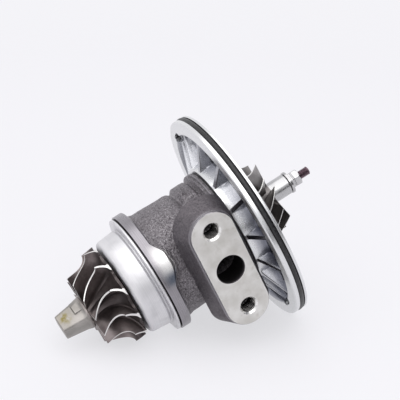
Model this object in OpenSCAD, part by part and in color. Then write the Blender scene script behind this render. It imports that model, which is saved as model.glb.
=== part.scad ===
// Turbocharger cartridge: bearing housing with its rotor, bearings, seals and backplate.
// The shaft axis is X. +X points to the compressor, -Y is the way the oil drain pad faces, +Z is up.
// The origin is on the shaft axis, in the plane of the turbine flange's front edge.

/* [Bearing housing] */
// Diameter of the turbine-side clamping flange
flange_d = 58.4; // [54:0.2:62]
// Thickness of the turbine-side clamping flange
flange_t = 4.7; // [3.5:0.1:6]
// Diameter of the cast body between the two flanges
body_d = 50.4; // [48:0.2:52]
// Distance from the turbine flange's front edge to the compressor-side face
housing_len = 41; // [40:0.5:44]
// Diameter of the compressor-side flange
comp_flange_d = 54.8; // [53:0.2:57]

/* [Oil drain pad] */
// Height of the machined pad face above the shaft axis
pad_reach = 35; // [33:0.5:38]
// Width of the machined pad face along the shaft
pad_w = 21; // [19:0.5:22]
// Length of the machined pad face across the shaft
pad_len = 60; // [57:0.5:64]
// Bore of the oil drain hole
drain_d = 13; // [10:0.5:14]
// Distance between the two M8 flange bolt holes
drain_pitch = 42; // [40:0.5:44]
// Core diameter of the M8 thread in the pad
drain_tap_d = 6.8; // [6.4:0.1:7.2]
// Depth of the threaded holes in the pad
drain_tap_depth = 15; // [12:0.5:17]

/* [Oil inlet] */
// Height of the oil inlet face above the shaft axis
inlet_reach = 31; // [29:0.5:33]
// Core diameter of the M12 x 1.5 inlet thread
inlet_tap_d = 10.5; // [9:0.1:11]

/* [Bearings] */
// Diameter of the shaft journals
journal_d = 8; // [7:0.1:8.6]
// Wall thickness of each floating bush
bush_wall = 2.5; // [2.2:0.1:2.8]
// Length of each floating bush
bush_len = 8; // [6.5:0.1:8.5]
// Radial oil gap between journal and bush
journal_gap = 0.03; // [0.02:0.01:0.05]
// Radial oil gap between bush and housing
bush_gap = 0.04; // [0.03:0.01:0.06]

/* [Heat shield] */
// Diameter of the shield drum at its front
shield_d = 46.8; // [44:0.2:48]
// Depth of the shield drum from its flange
shield_len = 12.2; // [11:0.2:14]
// Thickness of the shield sheet
shield_t = 1; // [0.8:0.1:1.2]

/* [Turbine wheel] */
// Diameter over the inducer tips
turbine_d = 46; // [43:0.5:47]
// Diameter over the exducer tips
exducer_d = 34.2; // [32:0.2:36]
// Axial length from the wheel's back to the exducer edge
turbine_len = 17.5; // [16:0.5:19]
// Width of the inducer tips
turbine_tip_w = 5; // [4:0.1:6]
// Number of turbine blades
turbine_blades = 11; // [9:1:12]
// Length of the drive nose beyond the wheel
nose_len = 12.4; // [10:0.2:14]
// Width across the flats of the drive nose at its end
nose_w = 9.4; // [8:0.2:10]

/* [Backplate] */
// Outside diameter of the backplate rim
plate_d = 102; // [98:0.5:106]
// Height of the backplate from hub face to compressor face
plate_h = 10.6; // [10:0.1:12]
// Thickness of the backplate rim
rim_t = 6.3; // [6:0.1:7]
// Width of the flat ring on the rim
rim_w = 7; // [6:0.1:8]
// Diameter of the hub face
hub_d = 58; // [57.4:0.2:60]
// Thickness of the floor under the pockets
floor_t = 3.4; // [2.8:0.1:4]
// Thickness of the ribs
rib_t = 2.2; // [1.6:0.1:2.8]
// Ribs on each half, between the two channels
half_ribs = 5; // [4:1:6]
// Angle between neighbouring ribs
rib_pitch = 27; // [24:0.5:27]
// Angle of the channel line, from -Y towards +Z
channel_angle = 127; // [90:1:170]

/* [Compressor wheel] */
// Diameter over the exducer tips
comp_d = 46; // [42:0.5:48]
// Diameter over the inducer tips
comp_inducer_d = 32.6; // [30:0.2:34]
// Length from the wheel's back to the inducer edge
comp_blade_len = 14.8; // [14:0.2:16]
// Length of the plain nose in front of the blades
comp_nose_len = 9.1; // [8:0.1:10]
// Number of full blades, with as many slightly shorter ones between them
comp_blades = 6; // [5:1:7]

/* [Shaft end] */
// Nominal diameter of the nut's thread
thread_d = 4; // [3.6:0.1:4.4]
// Width across the flats of the nut
nut_af = 7; // [6.6:0.1:7.6]
// Length of the nut with its flange
nut_len = 6.2; // [5:0.1:7]
// Length of thread left over beyond the nut
thread_over = 5.5; // [3:0.1:8]

/* [Hidden] */
$fn = 64;
eps = 0.01;

// Stack along the shaft, from the turbine flange's front edge
gasket_t = 0.5;
hub_x = housing_len + gasket_t;
plate_x = hub_x + plate_h;
rim_x = plate_x - rim_t;
lip_t = 1.4;
groove_w = 2.7;
groove_x = plate_x - lip_t - groove_w;
wheel_gap = 0.5;
comp_x = plate_x + wheel_gap;
inducer_x = comp_x + comp_blade_len;
nut_x = inducer_x + comp_nose_len;
nut_end_x = nut_x + nut_len;
tip_x = nut_end_x + thread_over;
shield_gap = 1.4;
land_step = 0.7;
land_x = -land_step;
shield_x = land_x - shield_len;
turb_x = shield_x - shield_gap;
exducer_x = turb_x - turbine_len;

// Housing
land_r = 26.8;
edge = 0.5;
body_r = body_d / 2;
waist_r = body_r - 1.5;
nose_tip_x = -9;
nose_tip_r = 11.5;
nose_base_r = 15;
comp_flange_t = 3.2;
lump_r = body_r + 0.5;
lump_angle = 62;
lump_mid = 104;
lug_r = flange_d / 2 - 0.3;
lug_len = 3.6;
lug_angle = 25;
lug_mid = 36.5;
cavity_r = 15.6;
cavity_x = 12.6;
tube_r = 10;
recess_r = 19;
recess_depth = 6.2;
recess_x = housing_len - recess_depth;
pad_x = housing_len - 13;
pad_edge = 1.6;
pad_skin = 0.8;
boss_depth = 10;
boss_draft = 3.6;
boss_stop = housing_len - 1.2;
neck_deep = 10;
inlet_x = 19;
inlet_boss_r = 9.5;
inlet_depth = 12;
feed_r = 2;

// Bearings and shaft
journal_r = journal_d / 2;
bush_in_r = journal_r + journal_gap;
bush_out_r = bush_in_r + bush_wall;
bore_r = bush_out_r + bush_gap;
clip_t = 1;
clip_play = 0.05;
clip_deep = 0.9;
clip_lap = 1.2;
bush_a_x = 3.2;
bush_play = 0.1;
stub_r = 2.5;
stub_gap = 0.02;
collar_x = recess_x - 1.5;
bush_b_x = collar_x - bush_len - 0.5;
seal_r = 7.7;
seal_gap = 0.3;
ring_w = 1.5;
ring_x = -6;
seal_start_x = -1.2;

// Thrust bearing stack
thrust_t = 3.5;
thrust_play = 0.1;
thrust_bore_r = 5.7;
spacer_r = 5.4;
collar_r = 7.5;
thrust_out_x = recess_x + thrust_t;
sleeve_x = thrust_out_x + thrust_play;
slinger_r = 8;
slinger_t = 1.2;
sleeve_r = 6.6;
plate_bore_r = sleeve_r + seal_gap;
baffle_t = 0.7;
pilot_r = recess_r - 0.05;
pilot_h = 0.9;
baffle_x = hub_x - pilot_h;
baffle_wall = 3.2;
pin_r = 1;
pin_pcd_r = 17.4;
pin_len = 5.5;

// Backplate fasteners
screw_pcd_r = 21.6;
screw_r = 2;
screw_tap_r = 1.66;
screw_head_r = 3.6;
screw_head_h = 2.2;
screw_deep = 8;
screw_angles = [35, 125, 215, 305];

// Backplate pockets
plate_r = plate_d / 2;
rim_in_r = plate_r - rim_w;
hub_r = hub_d / 2;
pocket_in_r = hub_r + 1.6;
floor_x = plate_x - floor_t;
groove_deep = 2.4;
oring_r = 1.3;
rib_end_x = floor_x - 0.7;
rib_drop = 0.6;
rib_root_r = hub_r - 2.5;
rib_end_r = rim_in_r + 0.6;
first_rib = (180 - (half_ribs - 1) * rib_pitch) / 2;
channel_half = 7.4;
notch_half = 6;
notch_r = 2.4;
notch_x = floor_x + 0.3;
cross_r = 1.1;
cross_len = 24;
cross_at_r = rim_in_r + 1;
cross_x = rim_x + 1.5;

// Turbine wheel
turb_tip_r = turbine_d / 2;
exducer_r = exducer_d / 2;
turb_hub_r = 7.4;
turb_disc_r = turb_tip_r - 1.6;
turb_disc_t = 0.9;
blade_x0 = turb_x - turb_disc_t;
twist_x = turb_x - 7.2;
twist_k = 0.22;
turb_phase = 37;
turb_root_t = 1.9;
turb_tip_t = 0.9;
nose_root_r = 7.7;
collar_t = 1.3;
nose_taper = 1.28;
nose_turn = 35;
nose_corner_r = 5.8;

// Compressor wheel
comp_tip_r = comp_d / 2;
comp_in_r = comp_inducer_d / 2;
comp_hub_r = 4.9;
comp_disc_t = 1;
comp_tip_w = 3.4;
comp_twist_x = comp_x + 4;
comp_twist_k = 0.24;
comp_phase = 10;
comp_root_t = 1.1;
comp_tip_t = 0.55;
splitter_start = 0.12;

// Turns a shape drawn around Z so that its axis is the shaft axis
module along_x() {
    rotate([0, 90, 0]) children();
}

// Places a shape drawn on the -Y side at an angle from -Y towards +Z
module at_angle(a) {
    rotate([-a, 0, 0]) children();
}

// Plain cylinder on the shaft axis between two stations
module disc(x0, x1, r) {
    translate([x0, 0, 0]) along_x() cylinder(r = r, h = x1 - x0);
}

// Tube on the shaft axis between two stations
module ring(x0, x1, r_in, r_out) {
    along_x() rotate_extrude() polygon([[r_in, x0], [r_out, x0], [r_out, x1], [r_in, x1]]);
}

// Cylinder or cone along -Y, from one height above the axis to another
module radial(x, h0, h1, r0, r1, z = 0) {
    translate([x, -h0, z]) rotate([90, 0, 0]) cylinder(r1 = r0, r2 = r1, h = h1 - h0);
}

// Long pad with round ends whose half width runs from w0 to w1
module drafted_pad(h0, h1, w0, w1, span) {
    for (s = [-1, 1]) radial(pad_x, h0, h1, w0, w1, s * span);
    translate([pad_x, 0, -span])
        linear_extrude(2 * span) polygon([[-w0, -h0], [w0, -h0], [w1, -h1], [-w1, -h1]]);
}

// Point on a blade: station, radius and angle around the shaft
function around(x, r, a) = [x, -r * cos(a), r * sin(a)];

// Triangles of a closed grid of nu by nv points on two sides
function grid_faces(nu, nv) = let (n = nu * nv) concat(
    [for (i = [0:nu - 2], j = [0:nv - 2], k = [0:1]) let (p = i * nv + j)
        k == 0 ? [p, p + nv, p + nv + 1] : [p, p + nv + 1, p + 1]],
    [for (i = [0:nu - 2], j = [0:nv - 2], k = [0:1]) let (p = n + i * nv + j)
        k == 0 ? [p, p + nv + 1, p + nv] : [p, p + 1, p + nv + 1]],
    [for (i = [0:nu - 2], k = [0:1]) let (p = i * nv)
        k == 0 ? [p, n + p, n + p + nv] : [p, n + p + nv, p + nv]],
    [for (i = [0:nu - 2], k = [0:1]) let (p = i * nv + nv - 1)
        k == 0 ? [p, n + p + nv, n + p] : [p, p + nv, n + p + nv]],
    [for (j = [0:nv - 2], k = [0:1]) let (p = j)
        k == 0 ? [p, p + 1, n + p + 1] : [p, n + p + 1, n + p]],
    [for (j = [0:nv - 2], k = [0:1]) let (p = (nu - 1) * nv + j)
        k == 0 ? [p, n + p + 1, p + 1] : [p, n + p, n + p + 1]]
);

// Turbine blade lines: hub and shroud are quarter ellipses in station and radius
function turb_hub(s) = [
    exducer_x + (blade_x0 - exducer_x) * cos(90 * s),
    turb_tip_r - (turb_tip_r - turb_hub_r) * sin(90 * s)
];
function turb_shroud(s) = [
    exducer_x + (blade_x0 - turbine_tip_w - exducer_x) * cos(90 * s),
    turb_tip_r - (turb_tip_r - exducer_r) * sin(90 * s)
];
function turb_twist(x) = -twist_k * pow(x - twist_x, 2);

// Compressor blade lines, from the inducer edge to the exducer
function comp_hub(s) = [
    inducer_x - (comp_blade_len - comp_disc_t) * sin(90 * s),
    comp_tip_r - (comp_tip_r - comp_hub_r) * cos(90 * s)
];
function comp_shroud(s) = [
    inducer_x - (comp_blade_len - comp_disc_t - comp_tip_w) * sin(90 * s),
    comp_tip_r - (comp_tip_r - comp_in_r) * cos(90 * s)
];
function comp_twist(x) = comp_twist_k * pow(max(0, x - comp_twist_x), 2);

// One turbine blade, rooted a little inside the hub
module turbine_blade() {
    nu = 10;
    nv = 4;
    sunk = 0.12;
    pts = [for (side = [-1, 1], i = [0:nu - 1], j = [0:nv - 1])
        let (
            s = i / (nu - 1),
            v = -sunk + (1 + sunk) * j / (nv - 1),
            p = turb_hub(s) * (1 - v) + turb_shroud(s) * v,
            t = turb_root_t + (turb_tip_t - turb_root_t) * max(0, v)
        )
        around(p[0], p[1], turb_twist(p[0]) + side * t / 2 / p[1] * 180 / PI)];
    polyhedron(points = pts, faces = grid_faces(nu, nv));
}

// One compressor blade; start is where along the flow it begins
module compressor_blade(start) {
    nu = 8;
    nv = 3;
    sunk = 0.12;
    pts = [for (side = [-1, 1], i = [0:nu - 1], j = [0:nv - 1])
        let (
            s = start + (1 - start) * i / (nu - 1),
            v = -sunk + (1 + sunk) * j / (nv - 1),
            p = comp_hub(s) * (1 - v) + comp_shroud(s) * v,
            t = comp_root_t + (comp_tip_t - comp_root_t) * max(0, v)
        )
        around(p[0], p[1], comp_twist(p[0]) + side * t / 2 / p[1] * 180 / PI)];
    polyhedron(points = pts, faces = grid_faces(nu, nv));
}

// Cast and machined outside of the bearing housing, with a machined lug behind the flange
module housing_outside() {
    fr = flange_d / 2;
    cr = comp_flange_d / 2;
    cx = housing_len - comp_flange_t;
    along_x() rotate_extrude() polygon([
        [0, nose_tip_x], [nose_tip_r, nose_tip_x], [nose_base_r, land_x], [land_r, land_x],
        [land_r, 0], [fr, 0], [fr, flange_t - edge], [fr - edge, flange_t], [body_r + 1.2, flange_t + 0.9],
        [body_r + 0.2, flange_t + 3.4], [body_r, flange_t + 11], [body_r, pad_x - 3],
        [waist_r, pad_x - 1], [waist_r, cx - 1.6], [cr - 1.6, cx - 0.5], [cr, cx],
        [cr, housing_len - edge], [cr - edge, housing_len], [0, housing_len]
    ]);
    along_x() rotate([0, 0, -90 - lump_mid - lump_angle / 2])
        rotate_extrude(angle = lump_angle)
            polygon([[waist_r - 3, pad_x + 1.5], [lump_r, pad_x + 2], [lump_r, cx - 1.8],
                [waist_r - 3, cx - 1.3]]);
    along_x() rotate([0, 0, -90 - lug_mid - lug_angle / 2])
        rotate_extrude(angle = lug_angle)
            polygon([[body_r - 3, flange_t - 1.2], [lug_r, flange_t - 1.2], [lug_r, flange_t + lug_len - 0.6],
                [lug_r - 0.8, flange_t + lug_len], [body_r - 3, flange_t + lug_len]]);
    radial(inlet_x, -inlet_reach, -inlet_reach / 2, inlet_boss_r, inlet_boss_r + 2);
}

// Drain flange: machined pad on a drafted boss with a cast neck down to the body
module drain_boss() {
    span = (pad_len - pad_w) / 2;
    cast_h = pad_reach - pad_edge;
    base_h = pad_reach - boss_depth;
    top_w = pad_w / 2 + pad_skin;
    base_w = top_w + boss_draft;
    drafted_pad(cast_h - eps, pad_reach, pad_w / 2, pad_w / 2, span);
    intersection() {
        union() {
            drafted_pad(base_h, cast_h, base_w, top_w, span);
            translate([pad_x - pad_w / 2, 0, 0]) rotate([90, 0, 90]) linear_extrude(pad_w)
                polygon([[-base_h - eps, -span - 3], [-base_h - eps, span + 3],
                    [-neck_deep, span - 4], [-neck_deep, 4 - span]]);
        }
        translate([0, -2 * pad_reach, -pad_len]) cube([boss_stop, 2 * pad_reach, 2 * pad_len]);
    }
}

// Bearing housing with bearing tube, drain cavity, oil ways and threaded holes
module bearing_housing() {
    color([0.45, 0.43, 0.44])
    difference() {
        union() {
            difference() {
                union() {
                    housing_outside();
                    drain_boss();
                }
                ring(cavity_x, recess_x + eps, tube_r, cavity_r);
                disc(collar_x - 0.3, recess_x + eps, cavity_r);
                disc(recess_x, housing_len + 1, recess_r);
                radial(pad_x, tube_r + 2, pad_reach + 1, drain_d / 2, drain_d / 2);
            }
            radial(inlet_x, -cavity_r - 2, 1 - tube_r, feed_r + 2.5, feed_r + 2.5);
        }
        disc(seal_start_x, housing_len, bore_r);
        disc(nose_tip_x - 1, seal_start_x + eps, seal_r);
        for (x = [bush_a_x - bush_play - clip_t, bush_a_x + bush_len + bush_play,
                bush_b_x - bush_play - clip_t])
            disc(x - clip_play, x + clip_t + clip_play, bore_r + clip_deep);
        radial(inlet_x, -inlet_reach - 1, inlet_depth - inlet_reach, inlet_tap_d / 2, inlet_tap_d / 2);
        radial(inlet_x, -inlet_reach, -1, feed_r, feed_r);
        for (s = [-1, 1])
            radial(pad_x, pad_reach - drain_tap_depth, pad_reach + 1, drain_tap_d / 2,
                drain_tap_d / 2, s * drain_pitch / 2);
        for (a = screw_angles)
            at_angle(a) translate([0, -screw_pcd_r, 0])
                disc(housing_len - screw_deep - 1, housing_len + 1, screw_tap_r);
        at_angle(180) translate([0, -pin_pcd_r, 0])
            disc(recess_x - pin_len + thrust_t, recess_x + 1, pin_r);
    }
}

// Pressed sheet heat shield with a stepped neck and a flat flange
module heat_shield() {
    r0 = shield_d / 2;
    r1 = r0 + 0.8;
    fr = flange_d / 2 - 0.6;
    neck_x = land_x - 2.2;
    neck_r = r0 - 0.2;
    hole_r = nose_tip_r - 1;
    t = shield_t;
    color([0.80, 0.79, 0.78])
    along_x() rotate_extrude() polygon([
        [hole_r, shield_x], [r0 - 1.6, shield_x], [r0 - 0.5, shield_x + 0.4],
        [r0, shield_x + 1.4], [r1, neck_x - 0.5], [r1 - 0.3, neck_x], [neck_r, neck_x + 0.4],
        [neck_r, land_x - t - 0.2], [neck_r + 0.2, land_x - t], [fr, land_x - t], [fr, land_x],
        [neck_r - t, land_x], [neck_r - t, neck_x + 0.1], [r1 - t, neck_x - 1],
        [r0 - t, shield_x + 1.7], [r0 - t - 0.7, shield_x + t], [hole_r, shield_x + t]
    ]);
}

// Split piston ring that seals the shaft against turbine gas
module turbine_seal_ring() {
    color([0.35, 0.33, 0.32])
    difference() {
        ring(ring_x, ring_x + ring_w, seal_r - 1.4, seal_r);
        translate([ring_x - 1, -0.2, 0]) cube([ring_w + 2, 0.4, seal_r + 1]);
    }
}

// Three sprung clips that keep the floating bushes in place
module bush_circlips() {
    color([0.50, 0.50, 0.52])
    for (x = [bush_a_x - bush_play - clip_t, bush_a_x + bush_len + bush_play,
            bush_b_x - bush_play - clip_t])
        difference() {
            ring(x, x + clip_t, bore_r - clip_lap, bore_r + clip_deep);
            translate([x - 1, -bore_r - 2, -2]) cube([clip_t + 2, bore_r + 2, 4]);
        }
}

// Bronze thrust plate with a drain notch and three oil pockets on its face
module thrust_bearing() {
    color([0.72, 0.52, 0.30])
    difference() {
        ring(recess_x, thrust_out_x, thrust_bore_r, recess_r - 0.05);
        translate([recess_x - 1, -recess_r - 1, -5]) cube([thrust_t + 2, recess_r - 8, 10]);
        at_angle(180) translate([0, -pin_pcd_r, 0]) disc(recess_x - 1, thrust_out_x + 1, pin_r);
        for (a = [60, 180, 300])
            at_angle(a) translate([0, -thrust_bore_r - 0.6, 0])
                disc(thrust_out_x - 0.5, thrust_out_x + 1, 1);
    }
}

// Dowel that stops the thrust plate from turning
module thrust_pin() {
    color([0.55, 0.55, 0.57])
    at_angle(180) translate([0, -pin_pcd_r, 0]) disc(recess_x - pin_len + thrust_t, thrust_out_x, pin_r);
}

// Cupped sheet that keeps slung oil away from the compressor seal
module oil_baffle() {
    color([0.62, 0.62, 0.60])
    difference() {
        union() {
            ring(thrust_out_x, baffle_x, recess_r - baffle_wall, recess_r - 0.05);
            ring(baffle_x - baffle_t, baffle_x, sleeve_r + 0.6, recess_r - baffle_wall + eps);
        }
        translate([thrust_out_x - 1, -recess_r - 1, -5])
            cube([baffle_x - baffle_t - thrust_out_x + 1, recess_r - 8, 10]);
    }
}

// Thin flat gasket between the housing and the backplate
module flange_gasket() {
    color([0.16, 0.16, 0.17])
    difference() {
        ring(housing_len, hub_x, recess_r + 0.05, comp_flange_d / 2 - 0.8);
        for (a = screw_angles)
            at_angle(a) translate([0, -screw_pcd_r, 0])
                disc(housing_len - 1, hub_x + 1, screw_r + 0.1);
    }
}

// Body of the backplate: hub, pocket floor and rim with its sealing groove
module plate_body() {
    along_x() rotate_extrude($fn = 120) polygon([
        [plate_bore_r, baffle_x], [pilot_r, baffle_x], [pilot_r, hub_x],
        [hub_r - 0.6, hub_x], [hub_r, hub_x + 0.6], [pocket_in_r, floor_x], [rim_in_r - 0.8, floor_x],
        [rim_in_r, rim_x + 0.4], [rim_in_r + 0.4, rim_x], [plate_r - 0.8, rim_x], [plate_r, rim_x + 0.4],
        [plate_r, groove_x], [plate_r - groove_deep, groove_x],
        [plate_r - groove_deep, groove_x + groove_w], [plate_r, groove_x + groove_w],
        [plate_r, plate_x - 0.3], [plate_r - 0.5, plate_x], [plate_bore_r, plate_x]
    ]);
}

// Radial web from the hub to the rim: its top edge starts below the hub face and falls towards the rim
module web() {
    translate([0, 0, -rib_t / 2]) linear_extrude(rib_t) polygon([
        [hub_x + rib_drop, -rib_root_r], [hub_x + rib_drop, -hub_r], [rib_end_x, -rib_end_r],
        [floor_x + 0.5, -rib_end_r], [floor_x + 0.5, -rib_root_r]
    ]);
}

// Outer end of a channel: a notch with round corners in the rim and a blind cross drilling through it
module channel_end() {
    corner = notch_half - notch_r;
    for (side = [-1, 1])
        translate([0, -rim_in_r, side * corner]) disc(rim_x - 1, notch_x, notch_r);
    translate([rim_x - 1, -rim_in_r - notch_r, -corner])
        cube([notch_x - rim_x + 1, 2 * notch_r, 2 * corner]);
    translate([cross_x, -cross_at_r, 0]) cylinder(r = cross_r, h = cross_len, center = true);
}

// Cast backplate with pockets, ribs and two opposite channels between parallel walls
module backplate() {
    color([0.86, 0.87, 0.88])
    difference() {
        union() {
            plate_body();
            for (h = [0, 180]) {
                for (side = [-1, 1])
                    at_angle(channel_angle + h) translate([0, 0, side * channel_half]) web();
                for (i = [0:half_ribs - 1])
                    at_angle(channel_angle + h - first_rib - i * rib_pitch) web();
            }
        }
        for (h = [0, 180])
            at_angle(channel_angle + h) channel_end();
        for (a = screw_angles)
            at_angle(a) translate([0, -screw_pcd_r, 0]) {
                disc(hub_x - 1, plate_x + 1, screw_r + 0.1);
                translate([plate_x - screw_head_h, 0, 0]) along_x()
                    cylinder(r1 = screw_r + 0.1, r2 = screw_head_r + 0.1, h = screw_head_h + eps);
            }
    }
}

// Rubber ring in the rim groove, standing slightly proud as it does when free
module backplate_o_ring() {
    color([0.10, 0.10, 0.11])
    along_x() rotate_extrude($fn = 120)
        translate([plate_r - groove_deep + oring_r, groove_x + groove_w / 2]) circle(r = oring_r, $fn = 32);
}

// Four countersunk socket screws that hold the backplate to the housing
module backplate_screws() {
    socket_af = 2.5;
    color([0.30, 0.30, 0.32])
    for (a = screw_angles)
        at_angle(a) translate([0, -screw_pcd_r, 0])
            difference() {
                union() {
                    disc(housing_len - screw_deep, plate_x - screw_head_h + eps, screw_tap_r - 0.02);
                    translate([plate_x - screw_head_h, 0, 0]) along_x()
                        cylinder(r1 = screw_r, r2 = screw_head_r, h = screw_head_h);
                }
                translate([plate_x - 1.6, 0, 0]) along_x()
                    cylinder(r = socket_af / sqrt(3), h = 3, $fn = 6);
            }
}

// Split piston ring between the sleeve and the backplate bore
module compressor_seal_ring() {
    x = hub_x + 3;
    color([0.35, 0.33, 0.32])
    difference() {
        ring(x, x + ring_w, plate_bore_r - 1.4, plate_bore_r);
        translate([x - 1, -0.2, 0]) cube([ring_w + 2, 0.4, plate_bore_r + 1]);
    }
}

// Four-sided drive nose with rounded corners, flared at its root
module drive_nose() {
    x1 = exducer_x - collar_t;
    root_w = nose_w * nose_taper;
    rotate([nose_turn, 0, 0]) intersection() {
        union() {
            translate([x1, 0, 0]) rotate([0, -90, 0]) rotate([0, 0, 45])
                cylinder(r1 = root_w / sqrt(2), r2 = nose_w / sqrt(2), h = nose_len, $fn = 4);
            translate([x1 - 4.2, -0.6, 0]) cube([4.4, root_w / 2, root_w / 2 + 0.5]);
        }
        translate([x1 + 0.1, 0, 0]) rotate([0, -90, 0])
            cylinder(r1 = nose_root_r, r2 = nose_corner_r, h = nose_len + 0.1);
    }
}

// Cast turbine wheel: hub, scalloped back disc, twisted blades and drive nose
module turbine_wheel() {
    steps = 10;
    hub_line = [for (i = [0:steps - 1]) let (p = turb_hub(i / steps)) if (p[1] < turb_disc_r) [p[1], p[0]]];
    color([0.36, 0.32, 0.30])
    union() {
        difference() {
            along_x() rotate_extrude() polygon(concat(
                [[0, turb_x], [turb_disc_r, turb_x], [turb_disc_r, blade_x0 - 0.4]], hub_line,
                [[turb_hub_r + 0.4, exducer_x - 0.4], [turb_hub_r + 0.4, exducer_x - collar_t],
                    [0, exducer_x - collar_t]]));
            for (i = [0:turbine_blades - 1])
                rotate([(i + 0.5) * 360 / turbine_blades, 0, 0])
                    at_angle(turb_twist(blade_x0) + turb_phase)
                        translate([0, -turb_tip_r - 2.2, 0])
                            disc(turb_x - 6, turb_x + 1, 5);
        }
        for (i = [0:turbine_blades - 1]) at_angle(turb_phase + i * 360 / turbine_blades) turbine_blade();
        drive_nose();
    }
}

// Shaft: sealing boss, journals, stepped stub and threaded end
module rotor_shaft() {
    boss_r = seal_r - seal_gap;
    boss_x = seal_start_x - 0.4;
    groove_r = seal_r - 1.4 - 0.3;
    c = 0.3;
    color([0.40, 0.33, 0.36])
    along_x() rotate_extrude() polygon([
        [0, turb_x], [boss_r, turb_x], [boss_r, ring_x - 0.1], [groove_r, ring_x - 0.1],
        [groove_r, ring_x + ring_w + 0.1], [boss_r, ring_x + ring_w + 0.1], [boss_r, boss_x],
        [journal_r, boss_x], [journal_r, collar_x - c], [journal_r - c, collar_x], [stub_r, collar_x],
        [stub_r, nut_x - 1], [thread_d / 2, nut_x - 0.5], [thread_d / 2, tip_x - 0.5],
        [thread_d / 2 - 0.5, tip_x], [0, tip_x]
    ]);
}

// Hard washer against the shaft shoulder, the inner thrust face
module thrust_collar() {
    color([0.62, 0.62, 0.64])
    ring(collar_x, recess_x - thrust_play, stub_r + stub_gap, collar_r);
}

// Spacer through the thrust plate that sets the rotor's end play
module thrust_spacer() {
    color([0.62, 0.62, 0.64])
    ring(recess_x - thrust_play, sleeve_x, stub_r + stub_gap, spacer_r);
}

// Sleeve with the outer thrust face, oil slinger and seal ring groove
module seal_sleeve() {
    x = hub_x + 3;
    groove_r = plate_bore_r - 1.4 - 0.3;
    color([0.62, 0.62, 0.64])
    along_x() rotate_extrude() polygon([
        [stub_r + stub_gap, sleeve_x], [slinger_r, sleeve_x], [slinger_r, sleeve_x + slinger_t],
        [sleeve_r, sleeve_x + slinger_t], [sleeve_r, x - 0.1], [groove_r, x - 0.1],
        [groove_r, x + ring_w + 0.1], [sleeve_r, x + ring_w + 0.1], [sleeve_r, comp_x],
        [stub_r + stub_gap, comp_x]
    ]);
}

// Compressor wheel with full blades and short blades between them
module compressor_wheel() {
    steps = 10;
    disc_r = comp_tip_r - 0.3;
    hub_line = [for (i = [1:steps - 1]) let (p = comp_hub(1 - i / steps)) [p[1], p[0]]];
    color([0.78, 0.79, 0.81])
    union() {
        along_x() rotate_extrude() polygon(concat(
            [[stub_r + stub_gap, comp_x], [disc_r, comp_x], [disc_r, comp_x + comp_disc_t]], hub_line,
            [[comp_hub_r, nut_x - 0.3], [comp_hub_r - 0.3, nut_x], [stub_r + stub_gap, nut_x]]));
        for (i = [0:comp_blades - 1]) {
            at_angle(comp_phase + i * 360 / comp_blades) compressor_blade(0);
            at_angle(comp_phase + (i + 0.5) * 360 / comp_blades) compressor_blade(splitter_start);
        }
    }
}

// Flanged hexagon nut that clamps the compressor wheel
module shaft_nut() {
    flange_r = nut_af * 0.77;
    flange_h = 1.4;
    hole_r = thread_d / 2 + stub_gap;
    color([0.80, 0.80, 0.80])
    difference() {
        union() {
            disc(nut_x, nut_x + flange_h, flange_r);
            intersection() {
                translate([nut_x + flange_h - eps, 0, 0]) along_x()
                    cylinder(r = nut_af / sqrt(3), h = nut_len - flange_h + eps, $fn = 6);
                translate([nut_x, 0, 0]) along_x()
                    cylinder(r1 = nut_af * 0.9, r2 = nut_af * 0.52, h = nut_len);
            }
        }
        disc(nut_x - 1, nut_end_x + 1, hole_r);
    }
}

// Floating bush with six oil holes
module floating_bush(x) {
    color([0.75, 0.58, 0.32])
    difference() {
        ring(x, x + bush_len, bush_in_r, bush_out_r);
        for (i = [0:5])
            at_angle(i * 60) radial(x + bush_len / 2, journal_r - 1, bush_out_r + 1, 0.8, 0.8);
    }
}

module turbine_bush() {
    floating_bush(bush_a_x);
}

module compressor_bush() {
    floating_bush(bush_b_x);
}

bearing_housing();
heat_shield();
turbine_seal_ring();
bush_circlips();
thrust_bearing();
thrust_pin();
oil_baffle();
flange_gasket();
backplate();
backplate_o_ring();
backplate_screws();
compressor_seal_ring();
turbine_wheel();
rotor_shaft();
thrust_collar();
thrust_spacer();
seal_sleeve();
compressor_wheel();
shaft_nut();
turbine_bush();
compressor_bush();
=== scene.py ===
# %% [markdown]
# # A turbocharger cartridge
# The real object is the middle of a small turbocharger: a cast-iron bearing housing, a turbine wheel at one
# end, a compressor wheel at the other, and an aluminium backplate with a rubber ring. The measured solids
# come in as a frame. Each visible piece is then made again as a finer surface in the same place, so that
# nothing has to be fitted.

# %% Load the frame
import math

import bmesh
import bpy
import numpy as np
from mathutils import Matrix, Vector


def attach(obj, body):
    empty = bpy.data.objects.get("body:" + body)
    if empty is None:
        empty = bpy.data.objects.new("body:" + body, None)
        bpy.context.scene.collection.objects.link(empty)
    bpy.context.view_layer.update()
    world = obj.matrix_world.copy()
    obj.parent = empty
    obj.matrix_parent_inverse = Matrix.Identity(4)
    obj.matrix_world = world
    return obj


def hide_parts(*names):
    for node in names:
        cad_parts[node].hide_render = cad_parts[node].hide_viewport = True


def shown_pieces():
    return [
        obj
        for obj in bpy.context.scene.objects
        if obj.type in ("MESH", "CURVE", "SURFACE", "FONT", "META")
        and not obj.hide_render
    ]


MM = 0.001


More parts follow.
